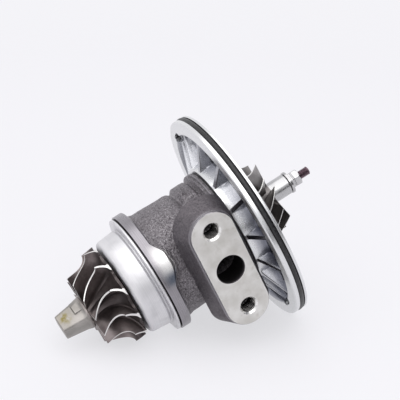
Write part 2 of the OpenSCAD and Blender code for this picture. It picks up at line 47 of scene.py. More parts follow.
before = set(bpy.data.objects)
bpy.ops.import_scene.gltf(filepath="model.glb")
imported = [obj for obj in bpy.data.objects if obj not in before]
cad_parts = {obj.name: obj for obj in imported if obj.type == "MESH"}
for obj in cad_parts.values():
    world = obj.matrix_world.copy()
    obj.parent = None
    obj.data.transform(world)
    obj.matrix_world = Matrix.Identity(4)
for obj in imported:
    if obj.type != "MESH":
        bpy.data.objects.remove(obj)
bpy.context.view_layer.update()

# %% [markdown]
# ## Camera
# The photograph was taken with a long lens from the front left and above. A camera could be aimed by eye,
# but then no size could be read from the picture. The place and the three directions below come from a
# pinhole camera fitted to the pad's holes, the flanges and the rim, in millimetres of the shared frame.

# %% Camera at the photograph's angle
EYE = Vector((-80.28, -571.27, 348.10)) * MM
RIGHT = Vector((0.83102, -0.39630, -0.39031))
DOWN = Vector((-0.52815, -0.34200, -0.77724))
FORWARD = Vector((0.17453, 0.85204, -0.49352))
SENSOR_MM = 36.0
FOCAL_PX, IMAGE_PX = 1500.0, 400.0
CLIP_NEAR, CLIP_FAR = 0.01, 20.0


def added(name, data):
    """Puts a camera, lamp or mesh into the scene as an object of that name."""
    made = bpy.data.objects.new(name, data)
    bpy.context.scene.collection.objects.link(made)
    return made


camera_data = bpy.data.cameras.new("photo_camera")
camera_data.sensor_width = SENSOR_MM
camera_data.lens = FOCAL_PX / IMAGE_PX * SENSOR_MM
camera_data.clip_start, camera_data.clip_end = CLIP_NEAR, CLIP_FAR
camera = added("photo_camera", camera_data)
turn = Matrix((RIGHT, -DOWN, -FORWARD)).transposed().to_4x4()
camera.matrix_world = Matrix.Translation(EYE) @ turn
bpy.context.scene.camera = camera
bpy.context.scene.view_settings.view_transform = "Standard"
print("lens in mm:", round(camera_data.lens, 1))

# %% [markdown]
# ## Surfaces from arrays
# A turned or cast piece is easiest to describe as points on a grid: one direction runs along a profile, the
# other around the shaft. Blender's Screw modifier could turn a profile too, but a grid also takes relief,
# holes and painted values at each point. numpy works out all the points at once, and one helper turns the
# grids of a piece into a mesh, welds the seams and ties the piece to the body that carries it.


# %% Grids and pieces
def around(x, r, a):
    """Points at station x, radius r and angle a around the shaft: (x, -r cos a, r sin a)."""
    x, r, a = np.broadcast_arrays(x, r, a)
    return np.stack([x, -r * np.cos(a), r * np.sin(a)], axis=-1)


def ease(value, start, end):
    """Smooth step: 0 before start, 1 after end, and 3t^2 - 2t^3 in between."""
    t = np.clip((value - start) / (end - start), 0.0, 1.0)
    return t * t * (3.0 - 2.0 * t)


def window(value, rise, fall):
    """Smooth window: from 0 to 1 between the two ends of rise, and back to 0 between those of fall."""
    return ease(value, *rise) * (1.0 - ease(value, *fall))


def turns(count):
    """count angles, evenly round the shaft."""
    return np.arange(count) / count * 2.0 * np.pi


def signed(degrees):
    """The same angle, brought to -180 to 180 degrees."""
    return (degrees + 180.0) % 360.0 - 180.0


class Shell:
    """The grids of points, in millimetres, that together make one piece."""

    def __init__(self):
        self.points, self.quads, self.finish, self.masks = [], [], [], []
        self.count = 0

    def grid(self, points, finish=0, wrap=False, loop=False, flip=False, **masks):
        """Adds rows x columns points. A face looks along row step x column step; flip turns it round.
        wrap joins the last column to the first, loop the last row to the first."""
        rows, columns = points.shape[:2]
        index = np.arange(rows * columns).reshape(rows, columns) + self.count
        if wrap:
            index = np.concatenate([index, index[:, :1]], axis=1)
        if loop:
            index = np.concatenate([index, index[:1]], axis=0)
        corners = [index[:-1, :-1], index[1:, :-1], index[1:, 1:], index[:-1, 1:]]
        quads = np.stack(corners, axis=-1).reshape(-1, 4)
        self.quads.append(quads[:, ::-1] if flip else quads)
        self.points.append(points.reshape(-1, 3))
        self.finish.append(np.full(len(quads), finish))
        self.masks.append({k: np.broadcast_to(v, (rows, columns)).ravel() for k, v in masks.items()})
        self.count += rows * columns


WELD_M = 2e-6


def piece(name, shell, finishes, body, nodes, sharp=38):
    """Makes one mesh of a shell, welds its seams, marks its sharp edges and ties it to its body."""
    mesh = bpy.data.meshes.new(name)
    mesh.from_pydata((np.concatenate(shell.points) * MM).tolist(), [], np.concatenate(shell.quads).tolist())
    mesh.polygons.foreach_set("material_index", np.concatenate(shell.finish).astype(np.int32))
    for key in sorted({k for masks in shell.masks for k in masks}):
        values = np.concatenate([m.get(key, np.zeros(len(p))) for m, p in zip(shell.masks, shell.points)])
        mesh.attributes.new(key, "FLOAT", "POINT").data.foreach_set("value", values.astype(np.float32))
    for finish in finishes:
        mesh.materials.append(finish.material)
    work = bmesh.new()
    work.from_mesh(mesh)
    bmesh.ops.remove_doubles(work, verts=work.verts, dist=WELD_M)
    work.to_mesh(mesh)
    work.free()
    mesh.shade_smooth()
    mesh.set_sharp_from_angle(angle=math.radians(sharp))
    made = added(name, mesh)
    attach(made, body)
    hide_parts(*nodes)
    print(name, len(mesh.polygons), "faces")


# %% Profiles with rounded corners
LONGEST_CUT, ARC_POINTS, TINY = 0.48, 6, 1e-9


def outline(corners, step, closed=False):
    """Polyline through (x, r, rounding) corners. Each corner becomes the curve (1-t)^2 a + 2t(1-t) c + t^2 b
    between points a and b on its two sides, and straight runs are cut into pieces no longer than step."""
    knots = np.array([c[:2] for c in corners], float)
    rounding = np.array([c[2] for c in corners], float)
    before, after = np.roll(knots, 1, axis=0) - knots, np.roll(knots, -1, axis=0) - knots
    length_b = np.maximum(np.linalg.norm(before, axis=1), TINY)
    length_a = np.maximum(np.linalg.norm(after, axis=1), TINY)
    cut = np.minimum(rounding, LONGEST_CUT * np.minimum(length_a, length_b))
    if not closed:
        cut[[0, -1]] = 0.0
    start = knots + before / length_b[:, None] * cut[:, None]
    end = knots + after / length_a[:, None] * cut[:, None]
    t = np.linspace(0.0, 1.0, ARC_POINTS)[None, :, None]
    arcs = (1 - t) ** 2 * start[:, None] + 2 * t * (1 - t) * knots[:, None] + t**2 * end[:, None]
    line = np.concatenate([arc if c > 0 else arc[:1] for arc, c in zip(arcs, cut)])
    if closed:
        line = np.concatenate([line, line[:1]])
    gaps = np.linalg.norm(np.diff(line, axis=0), axis=1)
    parts = np.maximum(1, np.ceil(gaps / step)).astype(int)
    at = np.repeat(np.arange(len(gaps)), parts)
    share = (np.arange(parts.sum()) - np.repeat(np.cumsum(parts) - parts, parts)) / parts[at]
    points = line[at] + (line[at + 1] - line[at]) * share[:, None]
    return points if closed else np.concatenate([points, line[-1:]])


def revolve(shell, corners, step, count=192, closed=False, finish=0, **masks):
    """Carries a profile of (x, r, rounding) corners round the shaft. With closed, the profile is a ring."""
    line = outline(corners, step, closed)
    points = around(line[:, :1], line[:, 1:], turns(count)[None, :])
    shell.grid(points, finish, wrap=True, loop=closed, **masks)


# %% A field of smooth random numbers
AXIS_PRIMES, SEED_PRIME = np.array([73856093, 19349663, 83492791]), 40503
STIRS = ((13, 1274126177), (11, 668265263))
LOW_31, LOW_16 = 0x7FFFFFFF, 0xFFFF
SAND = ((0.10, 6.0), (0.10, 2.0), (0.07, 0.9))


def lumpy(points, cell, seed):
    """Values from -1 to 1: random numbers on a lattice of that cell size, blended by 3t^2 - 2t^3 between the
    eight lattice points around each place."""
    place = np.asarray(points, float) / cell
    low = np.floor(place).astype(np.int64)
    t = place - low
    t = t * t * (3.0 - 2.0 * t)
    total = np.zeros(place.shape[:-1])
    for bits in np.ndindex(2, 2, 2):
        stirred = np.bitwise_xor.reduce((low + np.array(bits)) * AXIS_PRIMES, axis=-1) ^ (seed * SEED_PRIME)
        for shift, factor in STIRS:
            stirred = ((stirred ^ (stirred >> shift)) * factor) & LOW_31
        weight = np.prod(np.where(bits, t, 1.0 - t), axis=-1)
        total += weight * (stirred & LOW_16) / LOW_16
    return total * 2.0 - 1.0


def sand_skin(points, seed):
    """Height of a sand-cast skin in millimetres: swells, pits and grains, each a height and a cell size."""
    return sum(height * lumpy(points, cell, seed + i) for i, (height, cell) in enumerate(SAND))


# %% [markdown]
# ## Finishes
# Sand-cast iron, turned aluminium, ground steel and rubber differ in colour, roughness and in the fine
# marks on them. Photographs could be laid on as textures, but they would stretch and hold one light for
# ever. All marks are worked out from the place on the piece instead. Sums of values are written as Python
# expressions, and one method makes every other node, for the materials and for the world.


# %% Shader maths
class Value:
    """A socket that can stand in a sum: each operator adds one Math node."""

    def __init__(self, owner, socket):
        self.owner, self.socket = owner, socket

    def maths(self, operation, first, second):
        """The result of one Math node."""
        return self.owner.node("ShaderNodeMath", {"operation": operation}, {0: first, 1: second})

    def __add__(self, other):
        return self.maths("ADD", self, other)

    def __sub__(self, other):
        return self.maths("SUBTRACT", self, other)

    def __rsub__(self, other):
        return self.maths("SUBTRACT", other, self)

    def __mul__(self, other):
        return self.maths("MULTIPLY", self, other)

    __radd__ = __add__
    __rmul__ = __mul__


class Nodes:
    """The node tree of a material or of the world."""

    def __init__(self, owner):
        owner.use_nodes = True
        self.tree = owner.node_tree
        self.tree.nodes.clear()

    def node(self, kind, settings=(), sockets=(), out=0):
        """Makes a node: its settings, then the values or links of its sockets. An end node gives nothing."""
        made = self.tree.nodes.new(kind)
        for key, value in dict(settings).items():
            setattr(made, key, value)
        for key, value in dict(sockets).items():
            if isinstance(value, Value):
                self.tree.links.new(value.socket, made.inputs[key])
            else:
                made.inputs[key].default_value = value
        return Value(self, made.outputs[out]) if made.outputs else None

    def span(self, value, low, high, to_low=0.0, to_high=1.0):
        """Maps low..high to to_low..to_high, clamped."""
        sockets = {"Value": value, "From Min": low, "From Max": high, "To Min": to_low, "To Max": to_high}
        return self.node("ShaderNodeMapRange", {"clamp": True}, sockets)

    def looked_at(self):
        """1 for the camera, a reflection or a view through glass, 0 for light on its way to a surface."""
        kinds = ("Camera", "Glossy", "Transmission")
        rays = [self.node("ShaderNodeLightPath", out="Is %s Ray" % kind) for kind in kinds]
        return self.span(rays[0] + rays[1] + rays[2], 0.0, 1.0)


class Finish(Nodes):
    """One procedural material."""

    def __init__(self, name):
        self.material = bpy.data.materials.new(name)
        super().__init__(self.material)
        self.place = self.node("ShaderNodeTexCoord", out="Object")

    def mask(self, name):
        """A value painted on the piece's points."""
        return self.node("ShaderNodeAttribute", {"attribute_name": name}, out="Fac")

    def noise(self, size_mm, detail=2.0, vector=None):
        """Smooth noise with features of about that size."""
        sockets = {"Vector": vector or self.place, "Scale": 1.0 / (size_mm * MM), "Detail": detail}
        return self.node("ShaderNodeTexNoise", {}, sockets)

    def stretched(self, x, y, z):
        """Place on the piece, scaled along each axis."""
        return self.node("ShaderNodeMapping", {}, {"Vector": self.place, "Scale": (x, y, z)})

    def mix(self, share, first, second):
        """Colour between first and second."""
        rgba = [c if isinstance(c, Value) else (*c, 1.0) for c in (first, second)]
        return self.node("ShaderNodeMix", {"data_type": "RGBA"}, {0: share, 6: rgba[0], 7: rgba[1]}, out=2)

    def tone(self, value, low, high, first, second, most=1.0):
        """Colour that goes from first towards second, as far as most, while value goes from low to high."""
        return self.mix(self.span(value, low, high, 0.0, most), first, second)

    def painted(self, name, base, colour):
        """base, turning to colour where that value is painted on the piece's points."""
        return self.mix(self.mask(name), base, colour)

    def turned(self, size_mm):
        """Fine rings left by a lathe: noise along the sum of station and radius, so that it circles the shaft
        on cylinders and on flat faces alike. The radius counts a little less, so that cones of 45 degrees
        have rings."""
        off_axis = {0: self.place, 1: (0.0, 1.0, 1.0)}
        flat = self.node("ShaderNodeVectorMath", {"operation": "MULTIPLY"}, off_axis)
        radius = self.node("ShaderNodeVectorMath", {"operation": "LENGTH"}, {0: flat}, out="Value")
        station = self.node("ShaderNodeSeparateXYZ", {}, {0: self.place}, out="X")
        sockets = {"W": station + radius * 0.93, "Scale": 1.0 / (size_mm * MM), "Detail": 2.0}
        return self.node("ShaderNodeTexNoise", {"noise_dimensions": "1D"}, sockets)

    def bump(self, height, depth_mm):
        """Normal that leans with the height."""
        return self.node("ShaderNodeBump", {}, {"Height": height, "Distance": depth_mm * MM})

    def ended(self, shader):
        """Ends the material in that shader."""
        self.node("ShaderNodeOutputMaterial", {}, {"Surface": shader})
        return self

    def done(self, colour, roughness, metallic, normal=None):
        """Ends the material in one Principled shader."""
        colour = colour if isinstance(colour, Value) else (*colour, 1.0)
        sockets = {"Base Color": colour, "Roughness": roughness, "Metallic": metallic}
        if normal:
            sockets["Normal"] = normal
        return self.ended(self.node("ShaderNodeBsdfPrincipled", {}, sockets))


# %% [markdown]
# ### Cast iron and cut metal
# The housing's skin is grey-violet iron with dark pits and glints. Where tools have cut it, it is bright
# and shows rings or faint lines. Two materials could meet at the border, but a painted value lets the
# border be ragged.


# %% Sand-cast iron with machined faces
def cast_iron():
    """Grey-violet cast skin; where the machined mask is set, bright turned metal."""
    f = Finish("cast_iron")
    machined = f.mask("machined")
    smooth = f.mask("smooth")
    grain, pits, cloud = f.noise(0.55, 3.0), f.noise(1.0, 2.0), f.noise(14.0, 3.0)
    rings = f.turned(0.30)
    shade = f.span(grain * 0.6 + pits * 0.4, 0.36, 0.66) * (1.0 - 0.55 * smooth)
    skin = f.mix(shade, (0.055, 0.047, 0.055), (0.34, 0.318, 0.335))
    skin = f.tone(cloud, 0.42, 0.66, skin, (0.17, 0.155, 0.166), 0.45)
    specks = f.span(f.noise(0.45, 2.0), 0.57, 0.68) * f.span(cloud, 0.40, 0.62, 0.85, 0.25) * (1.0 - smooth)
    skin = f.mix(specks, skin, (0.52, 0.50, 0.515))
    metal = f.tone(rings, 0.35, 0.65, (0.26, 0.246, 0.265), (0.37, 0.355, 0.376))
    metal = f.tone(f.noise(5.0, 3.0), 0.50, 0.75, metal, (0.24, 0.228, 0.24), 0.5)
    # These two values lighten the machined lug and lay a dark blue-grey patch on the flange.
    metal = f.painted("worn", metal, (0.74, 0.73, 0.72))
    metal = f.painted("tint", metal, (0.11, 0.14, 0.20))
    # Painted shade: this value darkens the skin towards black in the flange's gap, the bore mouths, the drain
    # bore and the hollows of the rough spot.
    colour = f.painted("soot", f.mix(machined, skin, metal), (0.012, 0.011, 0.011))
    rough = f.span(machined, 0.0, 1.0, 0.46, 0.27) + grain * 0.12 - specks * 0.15
    height = (grain * 0.8 + pits) * (1.0 - machined) * (1.0 - 0.7 * smooth) + rings * machined * 0.06
    return f.done(colour, rough, f.span(machined, 0.0, 1.0, 0.75, 1.0), f.bump(height, 0.42))


def milled_pad():
    """Machined pad: warm light grey with faint milling lines, cloudy stains and a painted highlight along its
    edges.
    """
    f = Finish("milled_pad")
    lines = f.noise(0.35, 1.0, f.stretched(1.0, 1.0, 0.06))
    cloud, stain = f.noise(9.0, 3.0), f.noise(3.2, 4.0)
    colour = f.tone(cloud, 0.35, 0.68, (0.60, 0.585, 0.55), (0.80, 0.79, 0.765))
    colour = f.tone(stain, 0.56, 0.74, colour, (0.50, 0.475, 0.43), 0.45)
    # The edge value is a painted highlight along the holes and the pad's outline.
    colour = f.painted("edge", colour, (0.80, 0.79, 0.77))
    rough = 0.30 + lines * 0.12 + cloud * 0.10
    return f.done(colour, rough, 1.0, f.bump(lines, 0.02))


def thread_steel():
    """Cut thread in the iron: dark flanks, with a painted highlight on the crests and chamfer and painted
    shade deeper in the hole.
    """
    f = Finish("cut_thread")
    colour = f.painted("crest", (0.16, 0.15, 0.15), (0.86, 0.85, 0.83))
    colour = f.painted("deep", colour, (0.02, 0.019, 0.02))
    return f.done(colour, 0.20 + f.noise(0.6) * 0.15, 1.0)


IRON, PAD, CUT_THREAD = cast_iron(), milled_pad(), thread_steel()


# %% [markdown]
# ### Sheet, wheels, plate and small parts
# The drum is bright sheet, the turbine wheel dark alloy with ground edges, the plate and the compressor
# wheel are aluminium. One grey metal could serve them all, but each has its own grain, so each has a short
# function. The small turned parts share one, with their colours as values.


# %% Sheet, wheels and plate
def bright_sheet():
    """Pressed stainless sheet: fine rings, smudges, faint waves, dull where heat reached the shoulder."""
    f = Finish("bright_sheet")
    rings, smudge, wave = f.turned(0.35), f.noise(7.0, 3.0), f.noise(16.0, 1.0)
    colour = f.tone(rings, 0.3, 0.7, (0.68, 0.675, 0.69), (0.78, 0.775, 0.79))
    colour = f.tone(smudge, 0.5, 0.72, colour, (0.55, 0.545, 0.56), 0.5)
    dull = f.mask("dull")
    colour = f.mix(dull, colour, (0.74, 0.735, 0.745))
    rough = f.span(smudge, 0.3, 0.75, 0.42, 0.52) + dull * 0.2
    return f.done(colour, rough, f.span(dull, 0.0, 1.0, 0.92, 0.25), f.bump(rings * 0.05 + wave, 0.02))


def hot_alloy():
    """Investment-cast turbine alloy: dark brown-grey, fine cast grain, lighter where gas has scoured it."""
    f = Finish("hot_alloy")
    grain, cloud = f.noise(0.7, 3.0), f.noise(8.0, 3.0)
    colour = f.tone(cloud, 0.35, 0.68, (0.16, 0.132, 0.13), (0.38, 0.33, 0.322))
    colour = f.tone(grain, 0.5, 0.75, colour, (0.32, 0.285, 0.265), 0.35)
    colour = f.painted("pale", colour, f.tone(cloud, 0.3, 0.7, (0.30, 0.286, 0.266), (0.42, 0.40, 0.377)))
    warm = f.mask("warm") * f.span(f.noise(1.8, 3.0), 0.38, 0.62, 0.1, 1.0)
    # The dark value is painted shade: blade roots, the hub between the blades, and the disc's edge and back.
    colour = f.painted("dark", f.mix(warm, colour, (0.21, 0.175, 0.065)), (0.03, 0.027, 0.026))
    return f.done(colour, 0.34 + grain * 0.16, 0.9, f.bump(grain, 0.05))


def ground_edge():
    """Ground blade edges: bright with fine cross lines."""
    f = Finish("ground_edge")
    lines = f.turned(0.25)
    colour = f.mix(lines, (0.70, 0.685, 0.67), (0.90, 0.885, 0.87))
    return f.done(colour, 0.34 + lines * 0.12, 0.9)


def plate_aluminium():
    """Die-cast aluminium with turned faces: the cast mask gives the matt, finely pitted pockets."""
    f = Finish("plate_aluminium")
    cast = f.mask("cast")
    rings, grain, cloud = f.turned(0.22), f.noise(0.5, 3.0), f.noise(10.0, 2.0)
    turned = f.tone(rings, 0.3, 0.7, (0.66, 0.665, 0.67), (0.84, 0.845, 0.85))
    matt = f.tone(grain, 0.35, 0.7, (0.40, 0.405, 0.43), (0.56, 0.565, 0.59))
    matt = f.tone(cloud, 0.45, 0.7, matt, (0.36, 0.365, 0.395), 0.4)
    # Painted shade: pocket floors and lower rib sides, most in the lower half beside the drain boss, and the
    # cross drillings.
    matt = f.painted("oily", matt, (0.11, 0.115, 0.15))
    matt = f.painted("deep", matt, (0.03, 0.03, 0.035))
    rough = f.span(cast, 0.0, 1.0, 0.24, 0.20) + grain * 0.10
    height = rings * (1.0 - cast) * 0.25 + grain * cast * 0.4
    return f.done(f.mix(cast, turned, matt), rough, 1.0, f.bump(height, 0.05))


def wheel_aluminium():
    """Cast compressor aluminium: satin, with painted shade on the hub and the blade roots."""
    f = Finish("wheel_aluminium")
    grain, cloud = f.noise(0.6, 3.0), f.noise(7.0, 2.0)
    colour = f.tone(cloud, 0.35, 0.7, (0.27, 0.255, 0.252), (0.44, 0.425, 0.42))
    colour = f.tone(grain, 0.5, 0.75, colour, (0.19, 0.175, 0.17), 0.3)
    # The dark value is painted shade on the hub between the blades and on the blade roots.
    colour = f.painted("dark", colour, (0.06, 0.054, 0.053))
    return f.done(colour, 0.30 + grain * 0.14, 1.0, f.bump(grain, 0.03))


def plain_metal(name, dark, light, rough, ring_mm=0.25):
    """Turned or ground metal of one colour, with fine rings and faint clouds."""
    f = Finish(name)
    rings, cloud = f.turned(ring_mm), f.noise(4.0, 3.0)
    colour = f.tone(rings * 0.6 + cloud * 0.4, 0.35, 0.65, dark, light)
    return f.done(colour, rough + cloud * 0.12, 1.0, f.bump(rings, 0.015))


def dull_sheet(name, dark, light, rough):
    """Matt rubber or fibre: nearly black, with a little dust."""
    f = Finish(name)
    dust = f.noise(1.2, 4.0)
    colour = f.tone(dust, 0.45, 0.75, dark, light)
    return f.done(colour, rough + dust * 0.15, 0.0, f.bump(dust, 0.02))


SHEET, ALLOY, EDGE = bright_sheet(), hot_alloy(), ground_edge()
PLATE, WHEEL = plate_aluminium(), wheel_aluminium()
NUT = plain_metal("plated_nut", (0.42, 0.415, 0.42), (0.62, 0.615, 0.62), 0.14)
TURNED_AL = plain_metal("turned_aluminium", (0.40, 0.40, 0.405), (0.58, 0.58, 0.585), 0.22)
SHAFT = plain_metal("tinted_shaft", (0.10, 0.062, 0.078), (0.235, 0.165, 0.195), 0.30, 0.4)
STEEL = plain_metal("ground_steel", (0.52, 0.52, 0.53), (0.68, 0.68, 0.69), 0.24)
SPRING = plain_metal("spring_steel", (0.30, 0.30, 0.32), (0.42, 0.42, 0.44), 0.32)
RING_IRON = plain_metal("ring_iron", (0.20, 0.195, 0.195), (0.33, 0.32, 0.32), 0.36)
BRONZE = plain_metal("bearing_bronze", (0.52, 0.36, 0.17), (0.74, 0.55, 0.29), 0.28)
OXIDE = plain_metal("black_oxide", (0.035, 0.035, 0.038), (0.085, 0.085, 0.09), 0.36)
RUBBER = dull_sheet("seal_rubber", (0.010, 0.010, 0.011), (0.035, 0.035, 0.038), 0.34)
GASKET = dull_sheet("gasket_sheet", (0.012, 0.012, 0.013), (0.045, 0.044, 0.045), 0.62)
print("finishes:", len(bpy.data.materials))

# %% [markdown]
# ## Bearing housing
# The housing is one iron casting. Its outside is nearly a turned shape: flange, body, waist, smaller
# flange. It could be sculpted, but a grid of station and angle keeps every edge where it was measured. The
# cast part is roughened like sand and a ragged line divides it from the machined flange. The flange's back
# edge is drawn out into a lug, and the mouths of the oil drain and the oil inlet are pressed into the skin
# as pits.

# %% Profile of the casting
FLANGE_R, LAND_R, BODY_R, WAIST_R, SMALL_R = 29.2, 26.8, 25.2, 23.7, 27.4
HOUSING_LEN, PAD_X, INLET_X = 41.0, 28.0, 19.0
DRAIN_R, INLET_R, DRAIN_PIT_R, INLET_PIT_R = 6.5, 5.25, 15.5, 18.0
CAST_FROM, CAST_TO, OUTER_R, FLANGE_FROM_R = 5.2, 41.2, 20.0, 25.0
LAND_X, SEAT_R, BEARING_R, FACE_R = -0.7, 19.0, 6.57, 27.0

outside = outline([
    (LAND_X, LAND_R, 0), (0.0, LAND_R, 0.1), (0.0, FLANGE_R, 0.3), (4.3, FLANGE_R, 0.25), (4.7, 28.7, 0.2),
    (5.3, 26.4, 0.5), (7.7, 25.6, 0), (8.2, 25.5, 0), (8.34, 25.48, 0), (15.7, BODY_R, 3.0),
    (25.2, BODY_R, 1.6), (27.2, WAIST_R, 1.6), (35.8, WAIST_R, 1.4), (37.1, 25.6, 0.9), (37.8, SMALL_R, 0.4),
    (40.6, SMALL_R, 0.3), (HOUSING_LEN, FACE_R, 0)], step=0.42)
hidden = outline([
    (HOUSING_LEN, FACE_R, 0), (HOUSING_LEN, SEAT_R, 0), (34.8, SEAT_R, 0), (34.8, BEARING_R, 0),
    (-1.2, BEARING_R, 0), (-1.2, 7.7, 0), (-9.0, 7.7, 0), (-9.0, 11.5, 0), (LAND_X, 15.0, 0),
    (LAND_X, LAND_R, 0)], step=3.0)
skin_line = np.concatenate([outside, hidden[1:-1]])
angle = turns(312)[None, :]
degrees = signed(np.degrees(angle))
station, radius = skin_line[:, :1] + 0.0 * angle, skin_line[:, 1:] + 0.0 * angle
outer = (radius > OUTER_R) & (station > CAST_FROM) & (station < CAST_TO)
print("casting rows and columns:", station.shape)

# %% Lug, cast edge and lump
LUG_REACH, LUG_RISE, LUG_FALL = 3.4, (4.0, 27.0), (37.0, 53.0)
LUMP_H, LUMP_RISE, LUMP_FALL = 2.1, (70.0, 80.0), (128.0, 140.0)


def lug_share(deg):
    """Width of the machined lug, 0 to 1, round the shaft: slow at its lower end, quicker at its upper."""
    return window(deg, LUG_RISE, LUG_FALL)


def lug(x, deg):
    """Shift along the shaft that draws the flange's back edge out to the lug."""
    return LUG_REACH * lug_share(deg) * window(x, (1.0, 4.0), (5.4, 13.5))


def ragged_edge(deg):
    """Station where the cast skin starts: a wavy line behind the flange and its lug."""
    ring = np.stack([deg / 9.0, 0 * deg, 0 * deg], axis=-1)
    return CAST_FROM + 0.3 * lumpy(ring, 1.0, 5) + 0.5 * lug_share(deg)


def lump(x, deg):
    """Height of the cast lump on top of the waist, blended over two millimetres."""
    return LUMP_H * window(deg, LUMP_RISE, LUMP_FALL) * window(x, (27.2, 29.6), (35.0, 36.6))


def pit(points, x, side, bore_r, floor_r):
    """Depth by which the skin is pressed down to floor_r inside a bore along side * Y at station x."""
    away = np.hypot(points[..., 0] - x, points[..., 2])
    inside = (points[..., 1] * side > 0) & (radius > OUTER_R)
    return np.where(inside, 1.0 - ease(away, bore_r - 0.9, bore_r - 0.3), 0.0) * (radius - floor_r)


# %% Relief and painted values of the skin
SPOT_X, SPOT_DEG, SPOT_LONG, SPOT_WIDE, SPOT_H, SPOT_CELL = 30.4, 87.0, 2.4, 7.0, 1.5, 1.3
SKIN_LIFT = 0.12

cast = np.where(outer, ease(station - ragged_edge(degrees), -0.15, 0.15), 0.0)
bright_line = window(station, (38.9, 39.1), (39.6, 39.8)) * outer
on_flange = radius > FLANGE_FROM_R
# Painted shade: a dark ring on the flange's front face, in the gap behind the heat shield's flange.
soot = np.exp(-(((station + 0.1) / 0.35) ** 2)) * on_flange * (radius < FLANGE_R - 0.4)
bare = around(station, radius, angle)
spot = np.exp(-(((station - SPOT_X) / SPOT_LONG) ** 2) - ((degrees - SPOT_DEG) / SPOT_WIDE) ** 2)
rough_spot = spot * lumpy(bare, SPOT_CELL, 31)
radius = np.where(outer, radius + lump(station, degrees), radius)
sanded = cast * (1.0 - ease(station, 36.6, 37.6))
radius = radius + sanded * (sand_skin(bare, 11) + SKIN_LIFT + SPOT_H * rough_spot)
pressed = pit(bare, PAD_X, -1, DRAIN_R, DRAIN_PIT_R) + pit(bare, INLET_X, 1, INLET_R, INLET_PIT_R)
radius = radius - pressed
on_flange = radius > FLANGE_FROM_R
# A dark blue-grey patch on the flange and a brighter lug, as painted values.
tint = 0.8 * window(degrees, (7.0, 14.0), (16.0, 25.0)) * ease(station, 0.5, 3.0) * on_flange
worn = 0.85 * lug_share(degrees) * ease(station, 0.8, 3.0) * on_flange
# crevice is painted shade in the hollows of the rough spot on the lump.
crevice = 0.8 * outer * ease(-rough_spot, 0.15, 0.5)
drawn = np.where(radius > OUTER_R, station + lug(station, degrees), station)
SKIN, THREAD, FACE = range(3)
casting = Shell()
# Painted shade also darkens the bore mouths' insides deeper than 3 mm.
casting.grid(around(drawn, radius, angle), SKIN, wrap=True, loop=True, tint=tint, worn=worn,
             soot=np.maximum(soot, 0.95 * (pressed > 3.0)) + crevice,
             machined=np.maximum(1.0 - cast, 0.75 * bright_line))
print("highest relief in mm:", round(float((radius - skin_line[:, 1:]).max()), 2))


# %% Holes and bosses that stand square to the shaft
def upright(x, z, side, height, r, phi):
    """Points round an axis along side * Y through (x, z), at that height above the shaft axis."""
    height, r, phi = np.broadcast_arrays(height, r, phi)
    return np.stack([x + r * np.cos(phi), side * height, z + r * np.sin(phi)], axis=-1)


def triangle(t):
    """Triangle wave: 1 at whole numbers, 0 halfway between."""
    return np.abs((t % 1.0) * 2.0 - 1.0)


CHAMFER_SLOPE, CUT_SHARE, DRILL_CONE, HOLE_COLUMNS, ROWS_PER_PITCH = 0.9, 0.28, 1.1, 48, 8


def threaded_hole(shell, x, z, side, face_h, mouth_r, core_r, pitch, depth, finish):
    """Chamfered hole: r = core + depth of thread * triangle wave of (height / pitch + angle / turn), then a
    drill cone. The thread fades in behind the chamfer and out before the cone."""
    phi = turns(HOLE_COLUMNS)[None, :]
    rows = np.linspace(0.0, depth, int(depth / pitch * ROWS_PER_PITCH))[:, None]
    wave = triangle(rows / pitch + phi / (2 * np.pi))
    chamfer_h = mouth_r - core_r
    fade = window(rows, (chamfer_h - 0.2, chamfer_h + 0.5), (depth - 1.5, depth))
    chamfer = np.maximum(0.0, mouth_r - rows * CHAMFER_SLOPE)
    r = np.maximum(core_r + CUT_SHARE * pitch * wave * fade, chamfer)
    # Painted highlight on the thread's crests and the chamfer; painted shade that grows further into the hole
    # and fills the drill cone.
    shell.grid(upright(x, z, side, face_h - rows, r, phi), finish, wrap=True, flip=side < 0,
               crest=np.maximum(1.0 - wave, 1.0 - fade), deep=0.8 * ease(rows, 3.5, 9.0))
    cone = np.linspace(1.0, 0.0, 5)[:, None]
    tip = upright(x, z, side, face_h - depth - DRILL_CONE * (1 - cone), core_r * cone, phi)
    shell.grid(tip, finish, wrap=True, flip=side < 0, deep=1.0)


# %% Oil inlet
INLET_FACE, INLET_BOSS_R, INLET_MOUTH_R, INLET_PITCH, INLET_DEPTH = 31.0, 9.5, 6.4, 1.5, 12.0
threaded_hole(casting, INLET_X, 0.0, 1, INLET_FACE, INLET_MOUTH_R, INLET_R, INLET_PITCH, INLET_DEPTH, THREAD)
boss = outline([
    (INLET_MOUTH_R, INLET_FACE, 0), (8.9, INLET_FACE, 0.1), (INLET_BOSS_R, 30.4, 0.3), (9.9, 27.5, 1.0),
    (11.3, 24.6, 2.0), (14.5, 22.2, 0)], step=0.4)
phi = turns(160)[None, :]
boss_r, boss_h = boss[:, :1] + 0 * phi, boss[:, 1:] + 0 * phi
boss_cast = ease(-boss_h, -30.3, -30.0)
boss_r = boss_r + boss_cast * sand_skin(upright(INLET_X, 0.0, 1, boss_h, boss_r, phi), 21)
boss_side = upright(INLET_X, 0.0, 1, boss_h, boss_r, phi)
casting.grid(boss_side, SKIN, wrap=True, flip=True, machined=1.0 - boss_cast)
print("inlet boss rows:", len(boss))

# %% [markdown]
# ## Oil drain boss
# The boss is a long pad with round ends on a flared cast foot, all part of the casting. Its side is a
# profile carried along the pad's outline: machined edge, cast ledge, drafted wall, rounded foot and neck. A
# Boolean could cut the holes, but it leaves long thin faces. Here the face is three flat cells, each a grid
# between one hole and its part of the outline, so the holes are real and their edges can be painted.

